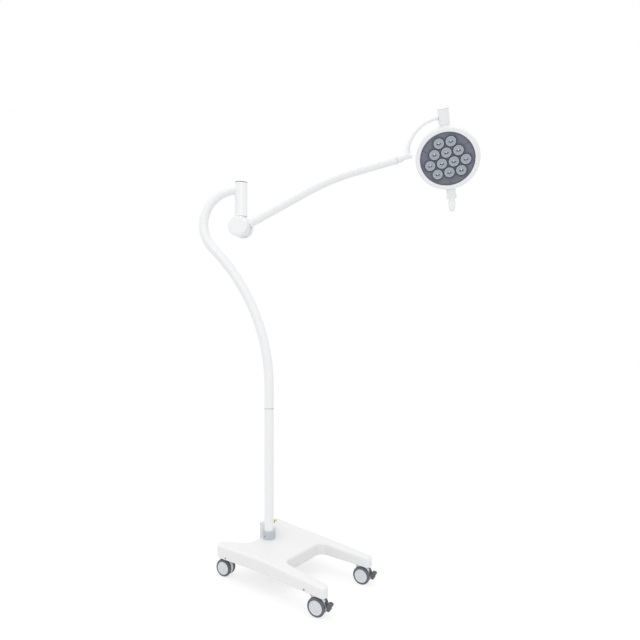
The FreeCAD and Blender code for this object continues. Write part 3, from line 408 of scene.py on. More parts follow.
looks = {
    "powderWhite": {"colour": (0.9, 0.905, 0.91), "rough": 0.34, "grain": 500.0, "bump": 0.02, "drift": 0.05,
                    "coat": 0.15},
    "mouldedWhite": {"colour": (0.885, 0.885, 0.885), "rough": 0.42, "grain": 1100.0, "bump": 0.05,
                     "drift": 0.06, "dust": 0.05},
    "headWhite": {"colour": (0.9, 0.905, 0.91), "rough": 0.36, "grain": 900.0, "bump": 0.03, "drift": 0.04,
                  "coat": 0.1},
    "collarGrey": {"colour": (0.54, 0.575, 0.62), "rough": 0.4, "grain": 1200.0, "bump": 0.12, "drift": 0.2},
    # this dark colour is the sleeve cap's own, and also the lenses' painted reflection of the chip
    "darkTrimAndChipReflection": {"colour": (0.045, 0.05, 0.06), "rough": 0.5, "grain": 1500.0, "bump": 0.2, "drift": 0.3},
    "seamGrey": {"colour": (0.35, 0.36, 0.38), "rough": 0.5, "grain": 1500.0, "bump": 0.2},
    "primedSteel": {"colour": (0.33, 0.34, 0.35), "rough": 0.55, "grain": 400.0, "bump": 0.25, "dust": 0.3},
    "castIron": {"colour": (0.09, 0.09, 0.095), "rough": 0.7, "grain": 260.0, "bump": 0.5, "depth": 0.0006},
    # near is the painted shade colour that darkens the front plate round the lens wells and along its rim
    # band
    "slatePlate": {"colour": (0.17, 0.177, 0.225), "near": (0.07, 0.08, 0.11), "rough": 0.45,
                   "grain": 1100.0, "bump": 0.25, "drift": 0.25},
    "lensGrey": {"colour": (0.37, 0.42, 0.48), "rough": 0.16, "grain": 260.0, "bump": 0.05, "drift": 0.3,
                 "coat": 0.8, "roughRange": 0.06},
    "lensShade": {"colour": (0.07, 0.075, 0.1), "rough": 0.4, "grain": 1100.0, "bump": 0.2},
    # the near-white colour of the painted highlight dots on the lenses
    "paintedHighlightWhite": {"colour": (0.92, 0.93, 0.95), "rough": 0.08, "grain": 900.0, "bump": 0.02, "coat": 1.0},
    "boardGreen": {"colour": (0.03, 0.05, 0.07), "rough": 0.4, "grain": 600.0},
    "bareAlloy": {"colour": (0.62, 0.63, 0.65), "rough": 0.35, "metal": 1.0, "grain": 500.0, "drift": 0.2},
    "turnedSteel": {"colour": (0.55, 0.56, 0.58), "rough": 0.28, "metal": 1.0, "grain": 1400.0, "bump": 0.2},
    "screwDark": {"colour": (0.22, 0.23, 0.25), "rough": 0.35, "metal": 1.0, "grain": 1400.0, "bump": 0.2},
    "brassPlate": {"colour": (0.72, 0.58, 0.3), "rough": 0.25, "metal": 1.0, "grain": 1200.0},
    "socketBlack": {"colour": (0.02, 0.021, 0.024), "rough": 0.45, "grain": 1600.0, "bump": 0.2},
    "inletWhite": {"colour": (0.78, 0.8, 0.81), "rough": 0.45, "grain": 1500.0, "dust": 0.08},
    "castorWhite": {"colour": (0.9, 0.91, 0.92), "rough": 0.38, "grain": 1500.0, "dust": 0.16},
    "discGrey": {"colour": (0.73, 0.75, 0.775), "rough": 0.36, "grain": 1500.0, "dust": 0.14, "coat": 0.1},
    "tyreSlate": {"colour": (0.086, 0.102, 0.126), "soiled": (0.3, 0.3, 0.3), "rough": 0.55, "grain": 1800.0,
                  "bump": 0.3, "dust": 0.28, "drift": 0.1},
    "pedalSlate": {"colour": (0.075, 0.085, 0.1), "soiled": (0.3, 0.3, 0.3), "rough": 0.5, "grain": 1300.0,
                   "bump": 0.35, "dust": 0.22},
    "acetal": {"colour": (0.1, 0.1, 0.11), "rough": 0.4},
}
finish = {name: skinMaterial(name, look) for name, look in looks.items()}


def stripeMaterial(name, look):
    # two colours in turn by the sign of sin(turns * (y + z / 2)), in the piece's own metres
    material, tree, shader = startMaterial(name)
    where = tree.nodes.new("ShaderNodeTexCoord").outputs["Object"]
    split = tree.nodes.new("ShaderNodeSeparateXYZ")
    tree.links.new(where, split.inputs[0])
    wound = mathNode(tree, "ADD", split.outputs["Y"], mathNode(tree, "MULTIPLY", split.outputs["Z"], 0.5))
    wave = mathNode(tree, "SINE", mathNode(tree, "MULTIPLY", wound, look["turns"]))
    share = mathNode(tree, "GREATER_THAN", wave, 0.0)
    colour = mixColour(tree, share, (*look["first"], 1), (*look["second"], 1))
    tree.links.new(colour, shader.inputs["Base Color"])
    fine = noiseNode(tree, where, 1400.0, 2.0)
    bump = tree.nodes.new("ShaderNodeBump")
    setInputs(bump, {"Strength": 0.15, "Distance": 0.0002})
    tree.links.new(fine, bump.inputs["Height"])
    tree.links.new(bump.outputs["Normal"], shader.inputs["Normal"])
    shader.inputs["Roughness"].default_value = 0.42
    return material


def paintShadeNearLenses(material, look):
    # painted shade: the plate darkens to the near colour where its shade attribute rises, close round the
    # lenses and on its rim band
    tree = material.node_tree
    skin = next(node for node in tree.nodes if node.type == "GROUP")
    mask = tree.nodes.new("ShaderNodeAttribute")
    mask.attribute_name = "paintedShade"
    tree.links.new(mixColour(tree, mask.outputs["Fac"], skin.outputs["Colour"], (*look["near"], 1)),
        tree.nodes["Principled BSDF"].inputs["Base Color"])


paintShadeNearLenses(finish["slatePlate"], looks["slatePlate"])
finish["earthStripe"] = stripeMaterial("earthStripe", {"turns": 620.0, "first": (0.62, 0.56, 0.06),
    "second": (0.16, 0.34, 0.07)})
print("finishes made:", len(finish))


# Every CAD node gets a finish; those that a new piece stands for are hidden later

finishNodes = {
    "screwDark": "base_screws sleeve_screws",
    "mouldedWhite": "base_cover",
    "primedSteel": "chassis_plate pole_foot",
    "castIron": "counterweight",
    "collarGrey": "pole_collar",
    "powderWhite": ("lower_pole upper_pole pole_sleeve turret_housing arm_tube arm_hub arm_end_fitting "
                    "yoke_socket yoke_tube knuckle"),
    "seamGrey": "pole_bush",
    "darkTrimAndChipReflection": "sleeve_cap",
    "acetal": "sleeve_bushes",
    "turnedSteel": "spindle pivot_pin yoke_pin head_stem handle_pin",
    "headWhite": "drum_cap knuckle_cap head_saddle head_housing head_bezel handle_bracket handle_grip",
    "slatePlate": "front_plate led_lenses",
    "boardGreen": "led_board",
    "bareAlloy": "heat_sink driver_module",
    "inletWhite": "inlet_box earth_shroud",
    "socketBlack": "mains_inlet power_rocker",
    "brassPlate": "contact_pins",
}
nodeFinish = {label: look for look, names in finishNodes.items() for label in names.split()}
castorFinish = {"hood": "castorWhite", "pins": "turnedSteel", "tyres": "tyreSlate", "wheels": "discGrey",
    "pedal": "pedalSlate"}
for label, item in nodes.items():
    chosen = nodeFinish.get(label) or castorFinish[label.split("_")[-1]]
    item.data.materials.clear()
    item.data.materials.append(finish[chosen])


# Castor base

base = {"skirt": 0.081, "rearTop": 0.137, "frontTop": 0.123, "slopeStart": 0.150, "slopeBlend": 0.05,
    "waistBack": 0.035, "waistHalf": 0.092, "rearBack": 0.141, "lobeHalf": 0.152, "rearHalf": 0.197,
    "sideBend": 0.090, "sideHalf": 0.177, "tipFront": 0.453, "tipOuter": 0.173, "tipInner": 0.136,
    "bayFront": 0.205, "bayHalf": 0.119, "waistRound": 0.040, "lobeRound": 0.022, "rearRound": 0.026,
    "sideRound": 0.6, "tipRound": 0.016, "bayRound": 0.034, "topRound": 0.010, "wall": 0.004, "lip": 0.0012,
    "ceiling": 0.094, "topMesh": 0.012}


def baseOutline():
    b = base
    half = [(-b["waistBack"], b["waistHalf"], b["waistRound"]),
        (-b["rearBack"], b["lobeHalf"], b["lobeRound"]), (-b["rearBack"], b["rearHalf"], b["rearRound"]),
        (b["sideBend"], b["sideHalf"], b["sideRound"]), (b["tipFront"], b["tipOuter"], b["tipRound"]),
        (b["tipFront"], b["tipInner"], b["tipRound"]), (b["bayFront"], b["bayHalf"], b["bayRound"])]
    loop = half + [(x, -y, r) for x, y, r in reversed(half)]
    points, normals = roundedLoop(loop, steps=14)
    return denser(points, normals, base["topMesh"])


def denser(points, normals, step):
    # long sides get points along them, with the side's own normal
    morePoints, moreNormals = [], []
    for i in range(len(points)):
        a, b = points[i], points[(i + 1) % len(points)]
        count = max(1, int(np.linalg.norm(b - a) / step))
        share = np.linspace(0, 1, count, endpoint=False)[:, None]
        morePoints.append(a + (b - a) * share)
        blendNormal = normals[i] * (1 - share) + normals[(i + 1) % len(points)] * share
        moreNormals.append(blendNormal / np.linalg.norm(blendNormal, axis=1)[:, None])
    return np.concatenate(morePoints), np.concatenate(moreNormals)


def topHeight(x):
    # level to the slope's start, then straight down to the tips, with a short parabola between
    drop = (base["rearTop"] - base["frontTop"]) / (base["tipFront"] - base["slopeStart"])
    past = x - base["slopeStart"]
    blend = base["slopeBlend"]
    soft = np.where(np.abs(past) < blend, (past + blend) ** 2 / (4 * blend), np.maximum(past, 0))
    return base["rearTop"] - drop * soft


def makeBaseCover():
    points, normals = baseOutline()
    low, lip, wall, edge = base["skirt"], base["lip"], base["wall"], base["topRound"]
    angles = np.linspace(0, np.pi / 2, 9)
    lipAngles = np.linspace(0, np.pi / 2, 4)
    rings = []

    def addRing(inset, height):
        flat = points - normals * inset
        rings.append(np.column_stack([flat, np.broadcast_to(height, len(flat))]))

    addRing(wall, base["ceiling"])
    addRing(wall, low + lip)
    for angle in lipAngles[1:]:
        addRing(wall - lip * (1 - np.cos(angle)), low + lip * (1 - np.sin(angle)))
    for angle in lipAngles:
        addRing(lip * (1 - np.sin(angle)), low + lip * (1 - np.cos(angle)))
    top = topHeight(points[:, 0])
    for share in (0.25, 0.5, 0.75):
        addRing(0, low + lip + (top - edge - low - lip) * share)
    for angle in angles:
        inner = edge * (1 - np.cos(angle))
        flat = points - normals * inner
        addRing(inner, topHeight(flat[:, 0]) - edge * (1 - np.sin(angle)))
    side = ringSurface(placed(poleFrame, np.array(rings)), last="open")
    return side, topSheet(points - normals * edge)


def topSheet(loop):
    # a triangle net over the inset outline; its height is topHeight at every point
    step = base["topMesh"]
    xs = np.arange(loop[:, 0].min() + step, loop[:, 0].max(), step)
    ys = np.arange(loop[:, 1].min() + step, loop[:, 1].max(), step)
    grid = np.array(np.meshgrid(xs, ys)).reshape(2, -1).T
    gap = np.linalg.norm(grid[:, None] - loop[None], axis=2).min(1)
    grid = grid[gap > step * 0.6]
    count = len(loop)
    edges = [(i, (i + 1) % count) for i in range(count)]
    given = [tuple(p) for p in np.vstack([loop, grid])]
    flat, _, faces, _, _, _ = delaunay_2d_cdt(given, edges, [], 1, 1e-7)
    flat = np.array([tuple(p) for p in flat])
    sheet = np.column_stack([flat, topHeight(flat[:, 0])])
    return placed(poleFrame, sheet), [list(face) for face in faces]


def weld(item, gap=1e-5):
    work = bmesh.new()
    work.from_mesh(item.data)
    bmesh.ops.remove_doubles(work, verts=work.verts, dist=gap)
    bmesh.ops.recalc_face_normals(work, faces=work.faces)
    work.to_mesh(item.data)
    work.free()
    smooth(item.data, edgeLook["sharpAbove"])


coverPiece = piece("baseCover", makeBaseCover(), "mouldedWhite", "base", ["base_cover"])
weld(coverPiece)
print("base cover made")


# Pole

pole = {"radius": 0.0215, "inner": 0.0185, "lining": 0.0165, "seam": 0.730, "foot": 0.092,
    "bushFlange": 0.002, "gap": 0.0003, "straight": 0.097, "swayRadius": 0.910, "swayTurn": 44,
    "hookRadius": 0.160, "collarRadius": 0.029, "collarLow": 0.137, "collarHigh": 0.173}

piece("lowerPole", [lathe(poleFrame, [(pole["inner"], pole["foot"], 0),
    (pole["radius"], pole["foot"], 0.0005), (pole["radius"], pole["seam"] - pole["bushFlange"], 0.0006),
    (0.0175, pole["seam"] - pole["bushFlange"], 0)], 96)], "powderWhite", "base", ["lower_pole"])
piece("poleSeamRing", [lathe(poleFrame, [(pole["lining"], pole["seam"] - 0.006, 0),
    (0.0182, pole["seam"] - 0.006, 0), (0.0182, pole["seam"] - pole["bushFlange"], 0),
    (pole["radius"] - 0.0004, pole["seam"] - pole["bushFlange"], 0.0002),
    (pole["radius"] - 0.0004, pole["seam"], 0.0002), (pole["lining"], pole["seam"], 0)], 96, ring=True)],
    "seamGrey", "base", ["pole_bush"])
piece("poleCollar", [lathe(poleFrame, [(pole["radius"], pole["collarLow"], 0.0002),
    (pole["collarRadius"], pole["collarLow"], 0.0008), (pole["collarRadius"], pole["collarHigh"], 0.0022),
    (pole["radius"] + 0.0006, pole["collarHigh"], 0.0006),
    (pole["radius"], pole["collarHigh"] - 0.0012, 0.0003)], 96, ring=True)], "collarGrey", "base",
    ["pole_collar"])

upperPath = bentPath([("run", pole["straight"] - pole["gap"]),
    ("bend", pole["swayRadius"], pole["swayTurn"]), ("bend", pole["hookRadius"], -(pole["swayTurn"] + 90))],
    (0, pole["seam"] + pole["gap"]), 90)
socketScrew = {"radius": 0.0031, "key": 0.0015, "deep": 0.0014, "proud": 0.0004, "level": 0.152,
    "root": 0.0262}
screwFrame = poleFrame @ shifted(z=socketScrew["level"]) @ turned("x", 90)
piece("collarScrew", [lathe(screwFrame, [(0.0001, pole["collarRadius"] - socketScrew["deep"], 0),
    (socketScrew["key"], pole["collarRadius"] - socketScrew["deep"], 0.0001),
    (socketScrew["key"], pole["collarRadius"] + socketScrew["proud"], 0.0002),
    (socketScrew["radius"], pole["collarRadius"] + socketScrew["proud"], 0.0004),
    (socketScrew["radius"], socketScrew["root"], 0.0002), (0.0001, socketScrew["root"], 0)], 36, 4)],
    "socketBlack", "base")
piece("upperPole", [pipe(mastFrame, upperPath, pole["radius"], 64)], "powderWhite", "mast", ["upper_pole"])

sleeve = {"radius": 0.0287, "inner": 0.024, "low": 1.605, "high": 1.759, "capThick": 0.003}
piece("poleSleeve", [lathe(sleeveFrame, [(sleeve["inner"], sleeve["low"], 0.0003),
    (sleeve["radius"], sleeve["low"], 0.0012), (sleeve["radius"], sleeve["high"], 0.001),
    (sleeve["inner"], sleeve["high"], 0.0003)], 96, ring=True)], "powderWhite", "mast", ["pole_sleeve"])
piece("sleeveCap", [disc(sleeveFrame, sleeve["radius"] - 0.0004, sleeve["high"] - 0.0004,
    sleeve["high"] + sleeve["capThick"], 0.0011, 96)], "darkTrimAndChipReflection", "mast", ["sleeve_cap"])
print("pole made")


# Turret, arm and yoke

drum = {"radius": 0.045, "inner": -0.009, "thick": 0.037, "hubWidth": 0.0344, "gap": 0.0003,
    "farCheek": 0.014, "neck": 0.022, "neckLow": 0.034, "neckTop": 0.0487, "capRadius": 0.041,
    "capThick": 0.002, "bridgeHalf": 0.016, "bridgeShift": 0.004, "edge": 0.0028}


def makeTurret():
    near, d = drumFrame @ alongY, drum
    low = d["inner"] - d["thick"]
    far = d["inner"] + d["hubWidth"] + 2 * d["gap"]
    bridgeMiddle = (low + d["inner"] + far + d["farCheek"]) / 2 + d["bridgeShift"]
    bridgeSize = (2 * d["bridgeHalf"], d["thick"] / 2 + d["hubWidth"] + d["farCheek"] - d["bridgeShift"],
        0.0055)
    bridge = softBlock(drumFrame @ shifted(y=bridgeMiddle, z=d["neckLow"] + 0.006), bridgeSize, 0.006,
        0.001)
    nearCheek = disc(near, d["radius"], low, d["inner"], d["edge"], 96)
    farCheek = disc(near, d["radius"], far, far + d["farCheek"], d["edge"], 96)
    neck = lathe(drumFrame, [(0.012, d["neckLow"], 0), (d["neck"], d["neckLow"], 0.001),
        (d["neck"], d["neckTop"] - 0.003, 0.002), (d["neck"] + 0.0045, d["neckTop"], 0.001),
        (0.012, d["neckTop"], 0)], 72)
    return [nearCheek, farCheek, neck, bridge]


piece("turret", makeTurret(), "powderWhite", "turret", ["turret_housing"])
piece("drumCap", [lathe(drumFrame @ shifted(y=drum["inner"] - drum["thick"]) @ turned("x", 90),
    [(0.030, drum["capThick"] + 0.0004, 0), (drum["capRadius"] - 0.004, drum["capThick"], 0.004),
    (drum["capRadius"], drum["capThick"] * 0.6, 0.0012), (drum["capRadius"], -0.001, 0)], 96)], "headWhite",
    "turret", ["drum_cap"])

arm = {"radius": 0.020, "start": 0.0465, "out": 0.412, "up": 0.199, "bend": 1.0, "endSlope": 12.6,
    "lastRun": 0.302, "ferrule": 0.013, "ferruleRadius": 0.0218, "hubRadius": 0.038, "hubWidth": 0.0344,
    "hubNeck": 0.016, "core": 0.004}


def armRoute():
    rise = np.degrees(np.arctan2(arm["up"], arm["out"]))
    swing = rise - arm["endSlope"]
    tangent = arm["bend"] * np.tan(np.radians(swing / 2))
    first = np.hypot(arm["out"], arm["up"]) - tangent - arm["start"]
    start = np.array([np.cos(np.radians(rise)), np.sin(np.radians(rise))]) * arm["start"]
    parts = [("run", first), ("bend", arm["bend"], -swing),
        ("run", arm["lastRun"] - arm["ferrule"] - tangent)]
    return bentPath(parts, start, rise), rise


armPath, armRise = armRoute()
piece("armTube", [pipe(armLine, armPath, arm["radius"], 64)], "powderWhite", "arm", ["arm_tube"])
armTilt = armLine @ turned("y", -armRise) @ alongX
hubDisc = disc(armLine @ alongY, arm["hubRadius"], -arm["hubWidth"] / 2, arm["hubWidth"] / 2, 0.0015, 96)
hubNeck = lathe(armTilt, [(arm["core"], 0.02, 0), (arm["hubNeck"], 0.02, 0),
    (arm["hubNeck"], 0.0425, 0.001), (arm["radius"] - 0.0008, 0.0455, 0.0012),
    (arm["radius"] - 0.0008, arm["start"] + 0.0005, 0), (arm["core"], arm["start"] + 0.0005, 0)], 72)
piece("armHub", [hubDisc, hubNeck], "powderWhite", "arm", ["arm_hub"])
endAlong = endFrame @ alongX
piece("armEndRing", [lathe(endAlong, [(0.006, -0.0135, 0), (0.0195, -0.0135, 0),
    (arm["ferruleRadius"], -0.012, 0.001), (arm["ferruleRadius"], -0.0075, 0.0005),
    (0.0204, -0.0068, 0.0003), (0.0204, -0.0055, 0.0003), (arm["ferruleRadius"], -0.0048, 0.0005),
    (arm["ferruleRadius"], -0.0004, 0.001), (0.0198, 0.0, 0), (0.006, 0.0, 0)], 96)], "powderWhite", "arm",
    ["arm_end_fitting"])

yoke = {"socket": 0.0185, "wide": 0.022, "neck": 0.0135, "length": 0.063, "gap": 0.0003, "start": 0.045,
    "heading": 78, "radius": 0.143, "run": 0.038, "tube": 0.0087, "boss": 0.0115, "bossLength": 0.024,
    "tipGap": 0.0012}


def makeYokeSocket():
    y = yoke
    barrel = lathe(endAlong, [(0.006, y["gap"], 0), (y["socket"] - 0.0004, y["gap"], 0.001),
        (y["socket"], 0.0012, 0.0006), (y["socket"], 0.0035, 0.0004),
        (y["socket"] - 0.0009, 0.0041, 0.0003), (y["socket"] - 0.0009, 0.0051, 0.0003),
        (y["socket"], 0.0057, 0.0004), (y["socket"], y["wide"] - 0.003, 0.003),
        (y["neck"], y["wide"] + 0.006, 0.004), (y["neck"], y["length"], 0.0025), (0.006, y["length"], 0)],
        96)
    root = yokeFrame @ shifted(x=y["start"]) @ turned("y", -y["heading"]) @ alongX
    boss = lathe(root, [(0.004, 0.004, 0), (y["boss"] + 0.004, 0.004, 0.001), (y["boss"], 0.0165, 0.006),
        (y["boss"] - 0.0004, y["bossLength"], 0.0016), (0.004, y["bossLength"], 0)], 64)
    return [barrel, boss]


piece("yokeSocket", makeYokeSocket(), "powderWhite", "yoke", ["yoke_socket"])
yokePath = bentPath([("bend", yoke["radius"], -yoke["heading"]), ("run", yoke["run"])], (yoke["start"], 0),
    yoke["heading"], 0.004)


def makeYokeTube():
    # the tube starts inside its boss and stops short of the knuckle
    points, headings = yokePath
    knuckleX = (np.linalg.inv(yokeFrame) @ tiltFrame)[0, 3]
    stop = knuckleX - knuckle["radius"] - yoke["tipGap"]
    inside = (np.arange(len(points)) > 2) & (points[:, 0] < stop)
    points = np.vstack([points[inside], [stop, points[-1, 1]]])
    return points, np.append(headings[inside], 0.0)


knuckle = {"radius": 0.0235, "half": 0.031, "capThick": 0.003, "bore": 0.008}
piece("yokeTube", [pipe(yokeFrame, makeYokeTube(), yoke["tube"], 48)], "powderWhite", "yoke", ["yoke_tube"])
piece("yokeTipCollar", [lathe(tiltFrame @ alongX, [(0.004, -0.0335, 0), (0.0092, -0.0335, 0.0005),
    (0.0105, -0.0325, 0.0008), (0.0105, -0.0252, 0.0008), (0.004, -0.0252, 0)], 48)], "powderWhite", "yoke")
piece("knuckleBarrel", [lathe(knuckleFrame, [(knuckle["bore"], -knuckle["half"], 0),
    (knuckle["radius"], -knuckle["half"], 0.002), (knuckle["radius"], knuckle["half"] - 0.0002, 0.0005),
    (knuckle["bore"], knuckle["half"] - 0.0002, 0)], 96)], "powderWhite", "knuckle", ["knuckle"])
piece("knuckleCap", [lathe(knuckleFrame, [(knuckle["bore"], knuckle["half"] + 0.0002, 0),
    (knuckle["radius"] - 0.0003, knuckle["half"] + 0.0002, 0.0006),
    (knuckle["radius"] - 0.0003, knuckle["half"] + knuckle["capThick"], 0.0022),
    (knuckle["bore"], knuckle["half"] + knuckle["capThick"] + 0.0004, 0)], 96)], "headWhite", "knuckle",
    ["knuckle_cap"])
print("arm and yoke made")

# Lamp head

head = {"radius": 0.135, "face": 0.118, "plate": 0.0258, "saddleTop": 0.1428, "saddleRadius": 0.025}
housingProfile = [(0.0004, -0.0286, 0), (0.060, -0.0284, 0.02), (0.0615, -0.0272, 0.0006),
    (0.064, -0.0272, 0.0006), (0.0655, -0.028, 0.0006), (0.090, -0.0272, 0.02), (0.119, -0.0195, 0.016),
    (0.1322, -0.0055, 0.014), (0.135, 0.008, 0.012), (0.135, 0.0188, 0.0008), (0.1335, 0.0198, 0.0004),
    (0.132, 0.0198, 0.0002), (0.132, 0.008, 0.01), (0.129, -0.004, 0.012), (0.117, -0.0165, 0.014),
    (0.088, -0.0245, 0.01), (0.0004, -0.025, 0)]
piece("headHousing", [lathe(faceFrame, housingProfile, 144, 6)], "headWhite", "head", ["head_housing"])
rimProfile = [(head["face"] + 0.0003, 0.0203, 0.0003), (0.1346, 0.0203, 0.0006),
    (0.1347, 0.0235, 0.003), (0.1305, 0.0279, 0.004), (0.1190, 0.0282, 0.002), (0.1162, 0.0279, 0.0008),
    (0.1148, 0.0266, 0.0004), (0.1150, 0.0262, 0.0002), (head["face"] + 0.0003, 0.0261, 0.0002)]
piece("headRim", [lathe(faceFrame, rimProfile, 144, 6, ring=True)], "headWhite", "head", ["head_bezel"])


def saddleRings():
    # a round foot under the knuckle that flares to meet the housing's side;
    # its radius grows by 7 mm x (1 - cos) towards the housing, and each point stops at the housing's surface
    angles = around(96)
    share = np.linspace(0, 1, 10)
    flare = 0.007 * (1 - np.cos(share * np.pi / 2))
    radius = head["saddleRadius"] - 0.006 + flare
    rings = []
    neck = [radius[0] - 0.004, radius[0] - 0.001]
    for r, t in zip(np.concatenate([neck, radius]), np.concatenate([[0, 0], share])):
        x, y = r * np.cos(angles), r * np.sin(angles)
        low = np.sqrt(np.maximum((head["radius"] - 0.0012) ** 2 - x ** 2, 0)) - 0.0006
        side = np.clip(np.abs(y) - 0.0205, 0, 1)
        low = low - side * 1.2
        high = head["saddleTop"]
        rings.append(np.column_stack([x, y, high + (low - high) * t]))
    rings[0][:, 2] = rings[1][:, 2] = head["saddleTop"]
    rings[2][:, 2] = head["saddleTop"] - 0.0006
    lowest = rings[-1].copy()
    lowest[:, :2] *= 0.6
    lowest[:, 2] = head["radius"] - 0.012
    return np.array(rings + [lowest])


piece("headSaddle", [ringSurface(placed(headFrame, saddleRings()))], "headWhite", "head", ["head_saddle"])

# the last two entries place the front plate's painted shade: the radius where its rim band starts, and its
# reach past each well's lip
light = {"pitch": 0.050, "rows": (2, 3, 4, 3), "hole": 0.0236, "wellFloor": 0.0165, "lip": 0.0009,
    "plateRadius": 0.1178, "plateUnder": 0.0225, "bead": 0.0006, "mesh": 0.007, "meshHalf": 0.11,
    "paintedShadeStart": 0.1105, "paintedShadeReach": 0.012}


def lensSpots():
    rise = light["pitch"] * np.sqrt(3) / 2
    rows = light["rows"]
    middle = sum(count * (3 - i) for i, count in enumerate(rows)) / sum(rows)
    return np.array([(light["pitch"] * (k - (count - 1) / 2), rise * (3 - i - middle))
                     for i, count in enumerate(rows) for k in range(count)])


def circle(radius, count, middle=(0.0, 0.0)):
    angles = around(count)
    return np.column_stack([middle[0] + radius * np.cos(angles), middle[1] + radius * np.sin(angles)])


def makeFrontPlate():
    # a flat disc with twelve holes and a raised bead near its rim; each hole has a well with a soft lip
    spots, hole = lensSpots(), light["hole"] + light["lip"]
    outer, top, under = light["plateRadius"], head["plate"], light["plateUnder"]
    rim = circle(outer - 0.006, 144)
    loops = [rim] + [circle(hole, 48, spot) for spot in spots]
    edges, base = [], 0
    for loop in loops:
        edges += [(base + i, base + (i + 1) % len(loop)) for i in range(len(loop))]
        base += len(loop)
    marks = np.arange(-light["meshHalf"], light["meshHalf"], light["mesh"])
    grid = np.array(np.meshgrid(marks, marks)).reshape(2, -1).T
    away = np.linalg.norm(grid[:, None] - spots[None], axis=2).min(1)
    grid = grid[(away > hole + 0.003) & (np.hypot(*grid.T) < outer - 0.009)]
    given = [tuple(point) for point in np.vstack(loops + [grid])]
    flat, _, faces, _, _, _ = delaunay_2d_cdt(given, edges, [], 1, 1e-7)
    flat, faces = np.array([tuple(point) for point in flat]), np.array([list(face) for face in faces])
    centres = flat[faces].mean(1)
    faces = faces[np.linalg.norm(centres[:, None] - spots[None], axis=2).min(1) > hole - 1e-4]
    sheet = placed(lensFrame, np.column_stack([flat, np.full(len(flat), top)]))
    surfaces = [(sheet, faces.tolist())]
    bead = [(outer - 0.006, top), (outer - 0.0052, top + light["bead"]),
            (outer - 0.0030, top + light["bead"]), (outer - 0.0022, top)]
    skirt = [(outer - 0.0006, top - 0.0002), (outer, top - 0.0009), (outer, under), (0.002, under - 0.007)]
    surfaces.append(openLathe(lensFrame, bead + skirt, 144))
    well = [(hole, top), (hole - 0.0005, top - 0.00015), (light["hole"], top - 0.0009),
            (light["hole"], light["wellFloor"]), (0.002, light["wellFloor"])]
    surfaces += [openLathe(lensFrame @ shifted(*spot), well, 48) for spot in spots]
    return surfaces


def openLathe(m, line, count):
    # turned like lathe, with sharp corners and its first end open
    return ringSurface(placed(m, turnedRings(np.array(line), count)), first="open")


plateItem = piece("frontPlate", makeFrontPlate(), "slatePlate", "head", ["front_plate"])
weld(plateItem)


def writePaintedShade(item):
    # painted shade: 1 at a well's lip, falling in a straight line to 0 at its reach beyond it; 0.75 on the
    # rim band next to the bezel
    mesh = item.data
    flat = np.empty(len(mesh.vertices) * 3)
    mesh.vertices.foreach_get("co", flat)
    local = (flat.reshape(-1, 3) - lensFrame[:3, 3]) @ lensFrame[:3, :3]
    away = np.linalg.norm(local[:, None, :2] - lensSpots()[None], axis=2).min(1)
    rim = np.clip((np.hypot(local[:, 0], local[:, 1]) - light["paintedShadeStart"]) / 0.001, 0, 0.75)
    paintedShade = np.maximum(np.clip(1 - (away - light["hole"]) / light["paintedShadeReach"], 0, 1), rim)
    mesh.attributes.new("paintedShade", "FLOAT", "POINT").data.foreach_set("value", paintedShade.astype(np.float32))


writePaintedShade(plateItem)

ribs = {"angles": (-90, 30, 150), "inner": 0.094, "outer": 0.1105, "width": 0.0022, "height": 0.0007,
    "sunk": 0.0003}


def makeRibs():
    middle = (ribs["inner"] + ribs["outer"]) / 2
    size = (ribs["outer"] - ribs["inner"], ribs["width"], ribs["height"] + ribs["sunk"])
    places = [lensFrame @ turned("z", angle) @ shifted(x=middle, z=head["plate"] - ribs["sunk"])
              for angle in ribs["angles"]]
    return [softBlock(place, size, 0.0008, 0.00035) for place in places]


piece("plateRibs", makeRibs(), "lensShade", "head")

optic = {"rim": 0.0219, "top": 0.0268, "bowlRim": 0.0186, "bowlDepth": 0.0034, "eye": 0.0060,
    "eyeTop": 0.0262, "root": 0.0168}


def makeLenses():
    # a turned lens: soft rim, a bowl of six faint flats, and a raised eye in the middle
    line, _ = roundedLoop([(0.0006, optic["eyeTop"] + 0.0004, 0), (0.0030, optic["eyeTop"], 0.002),
        (optic["eye"], optic["top"] - optic["bowlDepth"] + 0.0008, 0.001),
        (0.0085, optic["top"] - optic["bowlDepth"], 0.002),
        (optic["bowlRim"], optic["top"] - 0.0006, 0.003), (0.0203, optic["top"], 0.001),
        (optic["rim"], optic["top"] - 0.0006, 0.0012), (optic["rim"], optic["root"], 0.0003),
        (0.0006, optic["root"], 0)], 5, closed=False)
    angles = around(72)
    sixth = np.cos(np.pi / 6) / np.cos((angles + np.pi / 6) % (np.pi / 3) - np.pi / 6)
    bowl = np.clip((line[:, 0] - 0.007) / 0.003, 0, 1) * np.clip((0.0196 - line[:, 0]) / 0.0015, 0, 1)
    radius = line[:, 0:1] * (1 + bowl[:, None] * (sixth[None] - 1) * 0.8)
    rings = np.stack([radius * np.cos(angles), radius * np.sin(angles), np.repeat(line[:, 1:2], 72, 1)], -1)
    return [ringSurface(placed(lensFrame @ shifted(*spot), rings)) for spot in lensSpots()]


piece("lenses", makeLenses(), "lensGrey", "head", ["led_lenses"])


def makeChipReflections():
    # painted reflection of the chip: two short dark bars, tilted apart, below each eye
    surfaces = []
    for spot in lensSpots():
        for side in (-1, 1):
            at = lensFrame @ shifted(spot[0] + side * 0.0042, spot[1] - 0.0026, optic["eyeTop"] - 0.0016)
            loop = roundedLoop([(-0.0046, -0.0019, 0.0017), (0.0046, -0.0019, 0.0017),
                (0.0046, 0.0019, 0.0017), (-0.0046, 0.0019, 0.0017)], 3)
            surfaces.append(plate(at @ turned("z", side * 24), loop, 0, 0.0021, 0.0005, 2))
    return surfaces


